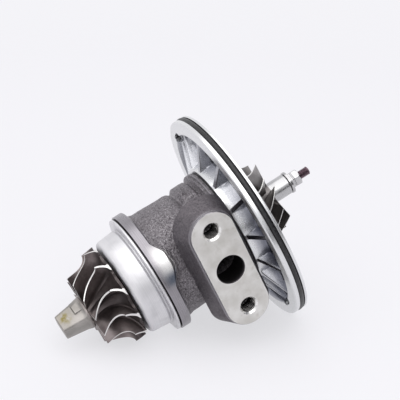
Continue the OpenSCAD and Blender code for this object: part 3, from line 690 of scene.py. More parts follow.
# %% Wall of the drain boss
PAD_FACE, PAD_R, PAD_SPAN, CELL_Z, EDGE_R, BOSS_STOP = 35.0, 10.5, 19.5, 10.5, 10.2, 39.8
FOOT_SHARE, WALL_SAND = 0.4, 0.45
cells = np.unique(np.concatenate([np.linspace(-1, 1, 41), [-CELL_Z / PAD_SPAN, CELL_Z / PAD_SPAN]]))
bend = np.linspace(0.0, np.pi, 49)[1:-1]
along = np.concatenate([cells, np.ones_like(bend), cells[::-1], -np.ones_like(bend)])
out_x = np.concatenate([np.ones_like(cells), np.cos(bend), -np.ones_like(cells), -np.cos(bend)])
out_z = np.concatenate([0 * cells, np.sin(bend), 0 * cells, -np.sin(bend)])


def stadium(width, height, span):
    """Points of the pad's outline: half width, height over the shaft, half length of the straight sides."""
    x = np.minimum(PAD_X + width * out_x, BOSS_STOP)
    end = np.where(out_z < 0, PAD_R + (width - PAD_R) * FOOT_SHARE, width)
    return np.stack(np.broadcast_arrays(x, -height, span * along + np.minimum(end, width) * out_z), axis=-1)


wall = outline([
    (EDGE_R, PAD_FACE, 0), (PAD_R, 34.7, 0.1), (PAD_R, 33.6, 0.15), (11.2, 33.1, 0.35), (14.9, 25.0, 0.4),
    (10.5, 24.2, 0.6), (10.4, 10.0, 0)], step=0.45)
width, height = wall[:, :1], wall[:, 1:]
span = PAD_SPAN - 7.5 * ease(-height, -25.0, -24.0) - 7.0 * ease(-height, -24.0, -10.0)
flat = stadium(width, height, span)
wall_cast = ease(-height, -33.5, -33.2) + 0 * out_x
push = np.stack([out_x, 0 * out_x, out_z], axis=-1) * (WALL_SAND * wall_cast * sand_skin(flat, 41))[..., None]
casting.grid(flat + push, SKIN, wrap=True, machined=1.0 - wall_cast, smooth=wall_cast)
print("boss wall rows and columns:", flat.shape[:2])

# %% Pad face with its three holes
TAP_Z, TAP_R, TAP_MOUTH_R, TAP_PITCH, TAP_DEPTH, MOUTH_CHAMFER = 21.0, 3.4, 4.3, 1.25, 8.6, 0.3
NEAR, EDGE_HIGHLIGHT_MM = 1e-6, 0.12
top = stadium(EDGE_R, PAD_FACE, PAD_SPAN)
share = np.array([0.0, 0.03, 0.08, 0.25, 0.5, 0.75, 0.92, 0.97, 1.0])[:, None, None]


def face_cell(centre_z, hole_r, loop):
    """Flat grid between a hole and the loop of points round it: each row is a blend of the two. The edge
    mask, a painted highlight, follows the hole and the pad's outline."""
    past_end = np.maximum(0.0, np.abs(loop[:, 2]) - PAD_SPAN)
    on_rim = (np.hypot(loop[:, 0] - PAD_X, past_end) > EDGE_R - 0.01)[None, :]
    spoke = np.arctan2(loop[:, 2] - centre_z, loop[:, 0] - PAD_X)
    hole = upright(PAD_X, centre_z, -1, PAD_FACE, hole_r, spoke)
    edge = np.linalg.norm(loop[:, [0, 2]] - hole[:, [0, 2]], axis=1)
    near = np.minimum(share[..., 0], np.where(on_rim, 1.0 - share[..., 0], 1.0)) * edge
    casting.grid(hole + (loop - hole) * share, FACE, wrap=True, edge=np.exp(-near / EDGE_HIGHLIGHT_MM))


def cut(z, x0, x1):
    """Points of the line across the pad at that z, between two stations, without its ends."""
    x = np.linspace(x0, x1, 16)[1:-1]
    return np.stack([x, np.full_like(x, -PAD_FACE), np.full_like(x, z)], axis=-1)


z_top = top[:, 2]
right, left = out_x > 0.999, out_x < -0.999
low_x, high_x = PAD_X - EDGE_R, PAD_X + EDGE_R
half = len(top) // 2
for sign in (-1, 1):
    keep = z_top * sign >= CELL_Z - NEAR
    run = np.roll(top, half, axis=0)[np.roll(keep, half)] if sign < 0 else top[keep]
    ends = (high_x, low_x) if sign < 0 else (low_x, high_x)
    face_cell(sign * TAP_Z, TAP_MOUTH_R, np.concatenate([run, cut(sign * CELL_Z, *ends)]))
    threaded_hole(casting, PAD_X, sign * TAP_Z, -1, PAD_FACE, TAP_MOUTH_R, TAP_R, TAP_PITCH, TAP_DEPTH,
                  THREAD)
middle = np.abs(z_top) <= CELL_Z + NEAR
face_cell(0.0, DRAIN_R + MOUTH_CHAMFER, np.concatenate([
    top[right & middle], cut(CELL_Z, high_x, low_x), top[left & middle], cut(-CELL_Z, low_x, high_x)]))
bore = outline([(DRAIN_R + MOUTH_CHAMFER, PAD_FACE, 0), (DRAIN_R, 34.7, 0), (DRAIN_R, 16.0, 0)], step=0.8)
bore_wall = upright(PAD_X, 0.0, -1, bore[:, 1:], bore[:, :1], turns(96)[None, :])
# Painted shade inside the drain bore, darker deeper down.
casting.grid(bore_wall, SKIN, wrap=True, flip=True, smooth=1.0,
             soot=0.9 - 0.5 * ease(bore[:, 1:], 32.0, PAD_FACE))
piece("housing_casting", casting, [IRON, CUT_THREAD, PAD], "housing", ["bearing_housing"])

# %% [markdown]
# ## Heat shield
# A pressed steel drum covers the hot end of the housing. A sheet with a Solidify modifier would do as well,
# but its two sides have different roundings, so both are drawn. It is a closed profile carried round the
# shaft: flat front with a hole, a soft shoulder, a slightly flared wall, a step into the neck, and a thin
# flange.

# %% Heat shield
SHIELD_X, NECK_X, SHIELD_EDGE_R, SHIELD_HOLE_R, DRUM_STEP = -12.9, -2.9, 28.6, 10.5, 0.7
drum = [
    (SHIELD_X, SHIELD_HOLE_R, 0.2), (SHIELD_X, 21.6, 0.5), (-12.3, 23.0, 0.6), (-11.3, 23.45, 0.8),
    (-3.4, 24.25, 0.3), (NECK_X, 23.95, 0.25), (-2.5, 23.25, 0.2), (-1.9, 23.25, 0.2), (-1.7, 23.6, 0.15),
    (-1.7, SHIELD_EDGE_R, 0.2), (-0.72, SHIELD_EDGE_R, 0.2), (-0.72, 22.2, 0.2), (-2.8, 22.2, 0.2),
    (-3.9, 23.2, 0.3), (-11.2, 22.4, 0.5), (-11.9, 21.7, 0.3), (-11.9, SHIELD_HOLE_R, 0.2)]
shoulder = 1.0 - ease(outline(drum, DRUM_STEP, True)[:, :1], -12.0, -8.5)
shield = Shell()
revolve(shield, drum, count=256, step=DRUM_STEP, closed=True, dull=shoulder)
piece("heat_shield_drum", shield, [SHEET], "housing", ["heat_shield"])

# %% [markdown]
# ## Turbine wheel
# Hub line and shroud line are quarter ellipses between the inducer and the exducer. A blade could be bent
# by a Simple Deform modifier, but the photograph gives its angle at each station. So it is the ruled
# surface between the two lines, turned round the shaft by an angle that falls with the square of the
# distance from one station. The ground edges are faces of their own, with a brighter finish. The back disc
# is scalloped between the blades.

# %% Turbine blades
TURB_X, EXDUCER_X, TURB_TIP_R, EXDUCER_R, TURB_HUB_R = -14.3, -31.8, 23.0, 17.1, 7.4
TURB_BLADES, TURB_PHASE, TURB_TWIST, TURB_TWIST_X = 11, 37.0, 0.22, -21.5
TURB_BACK_X, TURB_TIP_W, TURB_ROOT_T, TURB_EDGE_T, TURB_FILLET, TURB_ROWS = -15.2, 5.0, 1.5, 0.75, 1.6, 44


def quarter(s, x0, x1, r0, r1):
    """Quarter ellipse from (x0, r0) at s = 0, straight inwards, to (x1, r1) at s = 1, along the shaft."""
    return x1 + (x0 - x1) * np.cos(np.pi / 2 * s), r0 - (r0 - r1) * np.sin(np.pi / 2 * s)


def turbine_point(s, v):
    """Station and radius on a turbine blade: share s along the flow, share v from hub to shroud."""
    hub = quarter(s, TURB_BACK_X, EXDUCER_X, TURB_TIP_R, TURB_HUB_R)
    shroud = quarter(s, TURB_BACK_X - TURB_TIP_W, EXDUCER_X, TURB_TIP_R, EXDUCER_R)
    return [a * (1 - v) + b * v for a, b in zip(hub, shroud)]


def turbine_twist(x):
    """Blade's angle in radians at a station: minus k times the squared distance from its square station."""
    return np.radians(-TURB_TWIST * (x - TURB_TWIST_X) ** 2)


SIDE, GROUND, TURNED = range(3)
# The last value is the strength of the painted shade at the blade roots.
ROOT_SHARE, ROOT_FADE, THIN_POWER, CROWN, ROOT_SHADE = -0.12, 0.05, 0.8, 0.06, 0.6


def blade(shell, point, twist, s, root_t, tip_t, fillet, phase):
    """One closed blade: the ruled surface with a wall that thins towards the shroud and thickens in a root
    fillet. A strip across the wall closes each of its four edges."""
    v = np.concatenate([np.linspace(ROOT_SHARE, 0.3, 9), np.linspace(0.3, 1.0, 11)[1:]])[None, :]
    s = s[:, None]
    x, r = point(s, v)
    up = np.clip(v, 0, 1)
    thick = root_t + (tip_t - root_t) * up**THIN_POWER + fillet * np.exp(-up / ROOT_FADE)
    lean = thick / 2 / r
    across = np.linspace(-1, 1, 4)

    def strip(edge, finish, flip, bulge=0.0, **masks):
        """Narrow grid across the wall, along one edge."""
        turned = phase + twist(x[edge]) + across * lean[edge]
        shell.grid(around(x[edge], r[edge] + bulge, turned), finish, flip=flip, **masks)

    # Painted shade on the blade sides, darkest at the root.
    root_shade = ROOT_SHADE * (1.0 - ease(v, 0.0, 0.55))
    for k in (-1, 1):
        shell.grid(around(x, r, phase + twist(x) + k * lean), SIDE, flip=k < 0, dark=root_shade)
    strip(np.s_[:, -1:], GROUND, True, CROWN * (1 - across**2) * ((s > s[0]) & (s < s[-1])))
    strip(np.s_[:, :1], SIDE, False, dark=ROOT_SHADE)
    strip(np.s_[0, :, None], GROUND, True)
    strip(np.s_[-1, :, None], GROUND, False)


wheel = Shell()
pitch = 2 * np.pi / TURB_BLADES
for k in range(TURB_BLADES):
    blade(wheel, turbine_point, turbine_twist, np.linspace(0, 1, TURB_ROWS), TURB_ROOT_T, TURB_EDGE_T,
          TURB_FILLET, math.radians(TURB_PHASE) + k * pitch)
print("turbine blades:", TURB_BLADES)

# %% Turbine hub and scalloped disc
DISC_R, SCALLOP_R, SCALLOP_AT = 21.4, 5.0, 25.2
theta = turns(44 * TURB_BLADES)[None, :]
middle_angle = math.radians(TURB_PHASE) + turbine_twist(TURB_BACK_X) + pitch / 2
off = (theta - middle_angle + pitch / 2) % pitch - pitch / 2
reach = SCALLOP_R**2 - (SCALLOP_AT * np.sin(off)) ** 2
scallop = SCALLOP_AT * np.cos(off) - np.sqrt(np.maximum(reach, 0.0))
rim = np.where(reach > 0, np.minimum(DISC_R, scallop), DISC_R)
s_rim = np.arcsin((TURB_TIP_R - rim) / (TURB_TIP_R - TURB_HUB_R)) / (np.pi / 2)
s = s_rim + (1 - s_rim) * np.linspace(0, 1, 40)[:, None]
hub_x, hub_r = quarter(s, TURB_BACK_X, EXDUCER_X, TURB_TIP_R, TURB_HUB_R)
# Painted shade: the hub between the blades and the disc's edge and back are darkened.
wheel.grid(around(hub_x, hub_r, theta), SIDE, wrap=True, flip=True, dark=0.55)
edge_x = TURB_X + (hub_x[:1] - TURB_X) * np.linspace(0, 1, 5)[:, None]
wheel.grid(around(edge_x, rim, theta), SIDE, wrap=True, flip=True, dark=0.8)
wheel.grid(around(TURB_X, rim * np.linspace(0, 1, 24)[:, None], theta), SIDE, wrap=True, flip=True, dark=0.8)
print("disc radius in mm:", round(float(rim.min()), 1), "to", DISC_R)

# %% [markdown]
# ### Drive nose
# A tapered square nose for a spanner ends the wheel. A cube with a Bevel modifier would not taper or run
# into the round collar so softly. In the grid its radius is a rounded square, 1 / (|cos|^n +
# |sin|^n)^(1/n), held inside a cone by a soft minimum, with a small step on one side.

# %% Drive nose
NOSE_X, NOSE_END, NOSE_HALF, NOSE_ROOT, NOSE_TURN = -33.1, -45.5, 4.7, 6.02, 35.0
COLLAR_R, CONE_ROOT_R, CONE_END_R, SQUARE_POWER, SOFT = 7.8, 7.7, 5.9, 14, 6
STEP_HALF, STEP_SINE, FLARE_H, FLARE_LONG, FLARE_MAX_R = 6.45, 0.6, 1.1, 0.7, 7.75
STAIN_X, STAIN_DEG, STAIN_LONG, STAIN_WIDE, LEAST_SINE = -42.0, 62.0, 2.3, 26.0, 1e-3
collar = [(NOSE_X, 0.0, 0), (NOSE_X, COLLAR_R, 0.3), (-32.2, COLLAR_R, 0.3), (EXDUCER_X, TURB_HUB_R, 0)]
revolve(wheel, collar, count=132, step=0.5, pale=0.4)
theta = turns(240)[None, :]
local = theta + math.radians(NOSE_TURN)
cosine, sine = np.cos(local), np.sin(local)
end_rows = np.array([[0.12, 0.16], [0.03, 0.30], [0.0, 0.5]])
sides = np.linspace(NOSE_X + 0.2, NOSE_END + 0.35, 56)
x = np.concatenate([sides, NOSE_END + end_rows[:, 0]])[:, None]
round_end = np.concatenate([np.zeros_like(sides), end_rows[:, 1]])[:, None]
part = np.clip((NOSE_X - x) / (NOSE_X - NOSE_END), 0, 1)
half_w = NOSE_ROOT + (NOSE_HALF - NOSE_ROOT) * part
across = -half_w * cosine / np.where(np.abs(sine) < LEAST_SINE, LEAST_SINE, sine)
step_up = (STEP_HALF - half_w) * ease(x, -37.5, -37.1) * ease(across, -0.8, -0.4) * (sine > STEP_SINE)
square = half_w / (np.abs(cosine) ** SQUARE_POWER + np.abs(sine) ** SQUARE_POWER) ** (1 / SQUARE_POWER)
square = square + step_up / np.maximum(np.abs(sine), STEP_SINE)
limit = CONE_ROOT_R + (CONE_END_R - CONE_ROOT_R) * part
nose_r = -np.log(np.exp(-SOFT * square) + np.exp(-SOFT * limit)) / SOFT
flare = FLARE_H * np.exp(-np.clip(NOSE_X - x, 0, None) / FLARE_LONG)
nose_r = np.minimum(nose_r + flare, FLARE_MAX_R) - round_end
stain = np.exp(-(((x - STAIN_X) / STAIN_LONG) ** 2) - ((np.degrees(theta) - STAIN_DEG) / STAIN_WIDE) ** 2)
wheel.grid(around(x, nose_r, theta), SIDE, wrap=True, flip=True, pale=0.9, warm=np.clip(1.4 * stain, 0, 1))
nose_end = around(NOSE_END, nose_r[-1:] * np.linspace(1, 0, 8)[:, None], theta)
wheel.grid(nose_end, SIDE, wrap=True, flip=True, pale=0.9)
piece("turbine_wheel_cast", wheel, [ALLOY, EDGE], "rotor", ["turbine_wheel"])

# %% [markdown]
# ## Backplate
# Seen from the turbine side, the plate is a height over the plane: pocket floor, hub cone, rim, ribs and
# two channels that end in a notch with a blind cross drilling. Ribs could be separate boxes, but then they
# would not run into the floor softly. The grid's columns follow the edges of each rib, so the ribs stay
# straight and crisp with few faces. Rim, groove and back face follow as turned profiles, and the screws'
# countersinks are pressed into the back face. The rubber ring is a circle carried round the shaft.
# Blender's torus would do as well, but here it shares the groove's values.

# %% Rows and columns of the plate's front
PLATE_X, HUB_X, RIM_X, FLOOR_X = 52.1, 41.5, 45.8, 48.7
PLATE_R, RIM_IN_R, HUB_R, SPIGOT_R, HUB_FLAT_R, RIM_FACE_R = 51.0, 44.0, 29.0, 18.95, 28.2, 50.0
CHANNEL_ANGLE, CHANNEL_HALF, HALF_RIBS, RIB_PITCH, RIB_HALF = 127.0, 7.4, 5, 27.0, 1.1
RIB_ROUND, RIB_SLOPE, RIB_TOP_X, RIB_END_X, RIB_END_R = 0.35, 7.0, 42.1, 48.0, 44.6
NOTCH_HALF, NOTCH_ROUND, NOTCH_X, NOTCH_SLANT = 6.0, 2.4, 49.0, 0.12
CROSS_X, CROSS_AT_R, CROSS_R, CROSS_REACH = 47.3, 45.0, 1.1, 12.0

SIDE_STEPS = np.array([0.25, 0.4, 0.55, 0.7, 0.82, 0.92, 1.0, 1.06, 1.1, 1.2, 1.35, 1.55, 1.9, 2.4, 3.0])
RIB_STEPS = np.concatenate([-SIDE_STEPS[::-1], [0.0], SIDE_STEPS])
notch_steps = NOTCH_HALF + np.linspace(-NOTCH_SLANT, NOTCH_SLANT, 17)
wall_steps = CHANNEL_HALF + RIB_STEPS[RIB_STEPS > -1.25]
half_steps = np.concatenate([np.linspace(0.4, 5.6, 14), notch_steps, wall_steps])
CHANNEL_STEPS = np.concatenate([-half_steps[::-1], [0.0], half_steps])
NOTCH_END_R = RIM_IN_R + NOTCH_ROUND
row_r = np.unique(np.round(np.concatenate([
    np.linspace(SPIGOT_R, HUB_FLAT_R, 6), np.linspace(HUB_FLAT_R, 32.6, 18), np.linspace(32.6, 41.0, 15),
    np.linspace(41.0, 46.2, 30), np.linspace(46.2, 46.6, 11), np.linspace(46.6, RIM_FACE_R, 6)]), 4))[:, None]
print("rows:", len(row_r), "columns of a rib and a channel:", len(RIB_STEPS), len(CHANNEL_STEPS))

# %% Height of floor, hub, rim and webs
HUB_SLOPE, RIM_SLOPE, SHARPNESS, MID_H = 4.2, 3.6, 3.6, 6.0


def web_height(r, d, offset):
    """Height of a rib or channel wall at distance d from its middle line, which passes the shaft at that
    offset. The top falls in a straight line from hub to rim, its edges are quarter circles and its sides
    lean."""
    top = PLATE_X - np.interp(np.sqrt(r**2 - offset**2), [HUB_R, RIB_END_R], [RIB_TOP_X, RIB_END_X])
    beyond = np.maximum(0.0, np.abs(d) - RIB_HALF + RIB_ROUND)
    curved = np.minimum(beyond, 0.99 * RIB_ROUND)
    return top - RIB_ROUND + np.sqrt(RIB_ROUND**2 - curved**2) - RIB_SLOPE * (beyond - curved)


def plate_height(r, web):
    """Height over the plate's back: a soft maximum of floor, hub cone, rim and web."""
    hub = PLATE_X - HUB_X - np.maximum(0.0, r - HUB_R + 0.25) * HUB_SLOPE
    rim_top = PLATE_X - RIM_X - np.maximum(0.0, RIM_IN_R + 0.35 - r) * RIM_SLOPE
    layers = np.stack(np.broadcast_arrays(hub, rim_top, PLATE_X - FLOOR_X, web))
    height = np.log(np.exp(SHARPNESS * (layers - MID_H)).sum(axis=0)) / SHARPNESS + MID_H
    return np.where(r >= RIM_IN_R + 0.9, PLATE_X - RIM_X, np.minimum(height, PLATE_X - HUB_X))


def channel_cell(middle):
    """Angles, heights and sideways push of the columns over one channel. At its outer end the columns close
    in along the notch's round corners; on the notch's steep sides the push sinks the cross drilling."""
    into_rim = np.clip(row_r - RIM_IN_R, 0.0, NOTCH_ROUND)
    edge = NOTCH_HALF - NOTCH_ROUND + np.sqrt(NOTCH_ROUND**2 - into_rim**2)
    side, last = np.abs(CHANNEL_STEPS)[None, :], half_steps[-1]
    bent = np.where(side <= NOTCH_HALF, side * edge / NOTCH_HALF,
                    edge + (side - NOTCH_HALF) * (last - edge) / (last - NOTCH_HALF))
    height = plate_height(row_r, web_height(row_r, bent - CHANNEL_HALF, CHANNEL_HALF))
    steep = np.clip((np.maximum(side - NOTCH_HALF, row_r - NOTCH_END_R) / NOTCH_SLANT + 1.0) / 2.0, 0.0, 1.0)
    notch = ease(row_r, RIM_IN_R - 1.0, RIM_IN_R - 0.8) * (1.0 - steep)
    height = height - np.maximum(0.0, height - PLATE_X + NOTCH_X) * notch
    away = np.hypot(PLATE_X - height - CROSS_X, np.sqrt(np.maximum(row_r**2 - bent**2, 0.0)) - CROSS_AT_R)
    on_side = (np.abs(side - NOTCH_HALF) < 0.98 * NOTCH_SLANT) & (row_r < NOTCH_END_R)
    hole = np.where(on_side, 1.0 - ease(away, CROSS_R - 0.2, CROSS_R), 0.0)
    turn_by = np.arcsin(np.clip(bent / np.maximum(row_r, HUB_FLAT_R), -1.0, 1.0)) * np.sign(CHANNEL_STEPS)
    return middle + turn_by, height, np.sign(CHANNEL_STEPS) * (CROSS_REACH - bent) * hole


# %% Pockets, ribs and channels put together
first = (180.0 - (HALF_RIBS - 1) * RIB_PITCH) / 2
middles = [(CHANNEL_ANGLE - half_turn - from_channel, from_channel == 0.0) for half_turn in (0.0, 180.0)
           for from_channel in [0.0] + [first + i * RIB_PITCH for i in range(HALF_RIBS)]]
CAST_WAVE, CAST_CELL = 0.04, 3.0
cells = []
for degree, is_channel in sorted((signed(degree), c) for degree, c in middles):
    middle = math.radians(degree)
    if is_channel:
        cells.append(channel_cell(middle))
    else:
        turn_by = np.arcsin(RIB_STEPS / np.maximum(row_r, HUB_FLAT_R))
        height = plate_height(row_r, web_height(row_r, RIB_STEPS[None, :], 0.0))
        cells.append((middle + turn_by, height, 0.0 * height))
columns = []
blend = np.linspace(0, 1, 9)[1:-1]
open_height = plate_height(row_r, np.zeros((1, len(blend))))
for k, cell in enumerate(cells):
    following = cells[(k + 1) % len(cells)][0][:, :1] + (2 * np.pi if k + 1 == len(cells) else 0.0)
    columns += [cell, (cell[0][:, -1:] * (1 - blend) + following * blend, open_height, 0.0 * open_height)]
plate_angle, plate_h, plate_push = (np.concatenate(part, axis=1) for part in zip(*columns))
inside = window(row_r, (HUB_R, HUB_R + 0.5), (RIM_IN_R + 0.5, RIM_IN_R + 1.0)) + 0.0 * plate_angle
front = around(PLATE_X - plate_h, row_r, plate_angle)
front[..., 0] -= inside * CAST_WAVE * lumpy(front, CAST_CELL, 61)
channel = math.radians(CHANNEL_ANGLE)
which_end = np.sign(np.cos(plate_angle - channel))[..., None]
sideways = np.array([0.0, math.sin(channel), math.cos(channel)]) * which_end
front = front + plate_push[..., None] * sideways
# Painted shade inside the cross drillings, on the pocket floors and the lower part of the rib sides,
# strongest in the lower half beside the drain boss.
deep = ease(np.abs(plate_push), 0.3, 3.0)
floor_share = 1.0 - ease(plate_h - PLATE_X + FLOOR_X, 1.0, 4.5)
lower = window(signed(np.degrees(plate_angle)), (-125.0, -85.0), (15.0, 60.0))
oily = floor_share * (0.2 + 0.6 * lower)
plate = Shell()
plate.grid(front, wrap=True, cast=inside, deep=deep, oily=oily)
print("ribs and channels:", len(cells))

# %% Rim, groove and back face
GROOVE_X, GROOVE_W, GROOVE_DEEP, BORE_R = 48.0, 2.7, 2.4, 6.9
revolve(plate, [
    (RIM_X, RIM_FACE_R, 0), (RIM_X, 50.3, 0.1), (46.2, PLATE_R, 0.2), (GROOVE_X, PLATE_R, 0.12),
    (GROOVE_X, PLATE_R - GROOVE_DEEP, 0.2), (GROOVE_X + GROOVE_W, PLATE_R - GROOVE_DEEP, 0.2),
    (GROOVE_X + GROOVE_W, PLATE_R, 0.12), (51.8, PLATE_R, 0.2), (PLATE_X, 50.5, 0.1),
    (PLATE_X, RIM_FACE_R, 0)], count=360, step=0.5)
SCREW_R, SCREW_HEAD_R, SCREW_PCD_R, SCREW_DEG, SINK_SLOPE, SINK_DEEP = 2.1, 3.7, 21.6, 35.0, 1.375, 6.0
SCREW_IN_R, SCREW_OUT_R, SPIGOT_X = 17.5, 25.7, 40.6
theta = turns(320)[None, :]
back_r = np.unique(np.round(np.concatenate([
    np.linspace(BORE_R, SCREW_IN_R, 12), np.linspace(SCREW_IN_R, SCREW_OUT_R, 36),
    np.linspace(SCREW_OUT_R, RIM_FACE_R, 26)]), 4))[::-1][:, None]
toward = (theta - math.radians(SCREW_DEG) + np.pi / 4) % (np.pi / 2) - np.pi / 4
gap = np.hypot(back_r * np.cos(toward) - SCREW_PCD_R, back_r * np.sin(toward))
sink = np.clip(SCREW_HEAD_R - gap, 0.0, SCREW_HEAD_R - SCREW_R) * SINK_SLOPE
sink = sink + SINK_DEEP * (1.0 - ease(gap, SCREW_R - 0.35, SCREW_R))
plate.grid(around(PLATE_X - sink, back_r, theta), wrap=True)
spigot = [(PLATE_X, BORE_R, 0), (SPIGOT_X, BORE_R, 0), (SPIGOT_X, SPIGOT_R, 0), (HUB_X, SPIGOT_R, 0)]
revolve(plate, spigot, step=2.0)
piece("ribbed_backplate", plate, [PLATE], "housing", ["backplate"], sharp=32)

# %% Rubber ring
RING_R, RING_SECTION_R = 49.9, 1.3
section = turns(40)[:, None]
ring_x = GROOVE_X + GROOVE_W / 2 - RING_SECTION_R * np.cos(section)
ring_r = RING_R + RING_SECTION_R * np.sin(section)
ring = Shell()
ring.grid(around(ring_x, ring_r, turns(360)[None, :]), wrap=True, loop=True)
piece("rim_seal_ring", ring, [RUBBER], "housing", ["backplate_o_ring"], sharp=180)

# %% [markdown]
# ## Compressor wheel, nut and shaft end
# The compressor wheel is made in the same way as the turbine wheel, with short blades between the full
# ones. The nut is a radius that depends on the angle: a hexagon cut by a cone. The thread on the shaft end
# could be a Screw modifier on a small triangle. As a triangle wave of station and angle it fades out at
# both ends without a seam.

# %% Compressor wheel
COMP_X, INDUCER_X, NUT_X, COMP_TIP_R, COMP_IN_R, COMP_HUB_R = 52.6, 67.4, 76.5, 23.0, 16.3, 4.9
COMP_BLADES, COMP_PHASE, COMP_TWIST, COMP_TWIST_X, COMP_TIP_W, COMP_DISC_T = 6, 10.0, 0.24, 56.6, 3.4, 1.0
SPLIT_FROM, STUB_R, COMP_ROOT_T, COMP_EDGE_T, COMP_FILLET = 0.12, 2.52, 0.9, 0.5, 0.9


def compressor_point(s, v):
    """Station and radius on a compressor blade, from the inducer edge at s = 0 to the exducer at s = 1."""
    back = COMP_X + COMP_DISC_T
    hub_x, hub_r = quarter(1 - s, back, INDUCER_X, COMP_TIP_R, COMP_HUB_R)
    top_x, top_r = quarter(1 - s, back + COMP_TIP_W, INDUCER_X, COMP_TIP_R, COMP_IN_R)
    return hub_x * (1 - v) + top_x * v, hub_r * (1 - v) + top_r * v


def compressor_twist(x):
    """Angle of a blade at a station, in radians: k times the squared distance beyond its square station."""
    return np.radians(COMP_TWIST * np.maximum(0.0, x - COMP_TWIST_X) ** 2)


impeller = Shell()
for k in range(COMP_BLADES):
    full = math.radians(COMP_PHASE) + k * 2 * np.pi / COMP_BLADES
    short = full + np.pi / COMP_BLADES
    for s, phase in ((np.linspace(0, 1, 36), full), (np.linspace(SPLIT_FROM, 1, 26), short)):
        blade(impeller, compressor_point, compressor_twist, s, COMP_ROOT_T, COMP_EDGE_T, COMP_FILLET, phase)
line_x, line_r = compressor_point(np.linspace(1.0, 0.0, 32), 0.0)
back_face = [[COMP_X, STUB_R], [COMP_X, COMP_TIP_R - 0.2]]
line = np.concatenate([back_face, np.stack([line_x, line_r], axis=-1)[1:]])
# Painted shade on the hub between the blades.
impeller.grid(around(line[:, :1], line[:, 1:], turns(240)[None, :]), SIDE, wrap=True, dark=0.5)
revolve(impeller, [
    (INDUCER_X, COMP_HUB_R, 0), (NUT_X - 0.35, COMP_HUB_R, 0.2), (NUT_X, 4.6, 0.1), (NUT_X, STUB_R, 0),
    (COMP_X, STUB_R, 0)], count=240, step=0.6, finish=TURNED)
piece("compressor_wheel_cast", impeller, [WHEEL, EDGE, TURNED_AL], "rotor",
      ["compressor_wheel"])

# %% Flanged nut
NUT_AF, NUT_LEN, NUT_FLANGE_R, NUT_FLANGE_H, NUT_HOLE_R, NUT_CORNER_R = 7.0, 6.2, 5.35, 1.4, 2.06, 3.92
NUT_CUT_R, NUT_CUT_LONG, NUT_CUT_DROP, NUT_TOP_R, NUT_GROOVE_X, NUT_GROOVE_R = 5.6, 1.5, 2.1, 2.6, 3.0, 0.35
theta = turns(240)[None, :]
hexagon = NUT_AF / 2 / np.cos((theta + np.pi / 6) % (np.pi / 3) - np.pi / 6)
flange_x = [0.0, 0.0, 0.15, 0.7, 1.2, 1.36]
flange_r = [NUT_HOLE_R, 5.2, NUT_FLANGE_R, NUT_FLANGE_R, 5.3, 5.1]
hex_x = np.concatenate([np.linspace(NUT_FLANGE_H, NUT_LEN, 26), [NUT_LEN, NUT_LEN]])
x = np.concatenate([flange_x, hex_x])[:, None]
flange = np.concatenate([flange_r, np.zeros_like(hex_x)])[:, None]
top_cut = NUT_CUT_R - ease(x, NUT_LEN - NUT_CUT_LONG, NUT_LEN) * NUT_CUT_DROP
crown = np.minimum(hexagon, np.minimum(top_cut, NUT_CORNER_R))
groove = NUT_GROOVE_R * np.exp(-(((x - NUT_GROOVE_X) / NUT_GROOVE_R) ** 2))
nut_r = np.where(x < NUT_FLANGE_H, flange, crown - groove)
nut_r[-2], nut_r[-1] = NUT_TOP_R, NUT_HOLE_R
nut = Shell()
nut.grid(around(NUT_X + x, nut_r, theta), wrap=True)
nut.grid(around(np.array([[NUT_X + NUT_LEN], [NUT_X]]), NUT_HOLE_R, theta), wrap=True)
piece("flanged_nut", nut, [NUT], "rotor", ["shaft_nut"], sharp=24)

# %% Shaft with its threaded end
THREAD_R, THREAD_PITCH, THREAD_SHARE, TIP_X, TIP_CHAMFER = 2.0, 0.7, 0.42, 88.2, 0.35
BOSS_R, RING_SEAT_R, JOURNAL_R, STEP_R = 7.4, 6.0, 4.0, 2.5
shaft = Shell()
revolve(shaft, [
    (TURB_X, 0.0, 0), (TURB_X, BOSS_R, 0), (-6.1, BOSS_R, 0), (-6.1, RING_SEAT_R, 0), (-4.4, RING_SEAT_R, 0),
    (-4.4, BOSS_R, 0), (-1.6, BOSS_R, 0), (-1.6, JOURNAL_R, 0), (33.0, JOURNAL_R, 0), (33.3, 3.7, 0),
    (33.3, STEP_R, 0), (NUT_X - 1.0, STEP_R, 0), (NUT_X - 0.5, THREAD_R, 0), (NUT_X, THREAD_R, 0)],
    count=96, step=4.0)
theta = turns(72)[None, :]
thread_end = TIP_X - TIP_CHAMFER
x = np.linspace(NUT_X, thread_end, 150)[:, None]
wave = triangle(x / THREAD_PITCH - theta / (2 * np.pi))
fade = window(x, (NUT_X, NUT_X + 0.6), (TIP_X - 0.9, thread_end))
shaft.grid(around(x, THREAD_R - THREAD_SHARE * THREAD_PITCH * wave * fade, theta), wrap=True)
tip = np.array([
    [thread_end, THREAD_R], [TIP_X - 0.1, 1.75], [TIP_X, 1.55], [TIP_X, 1.0], [TIP_X, 0.5], [TIP_X, 0.0]])
shaft.grid(around(tip[:, :1], tip[:, 1:], theta), wrap=True)
piece("shaft_threaded", shaft, [SHAFT], "rotor", ["rotor_shaft"], sharp=24)

# %% [markdown]
# ## Hidden pieces
# Bearings, thrust parts and seals sit inside, and the gasket shows only its edge. They could be drawn finer
# too, but little of them is seen. Their solids are right as they are and only get finishes.

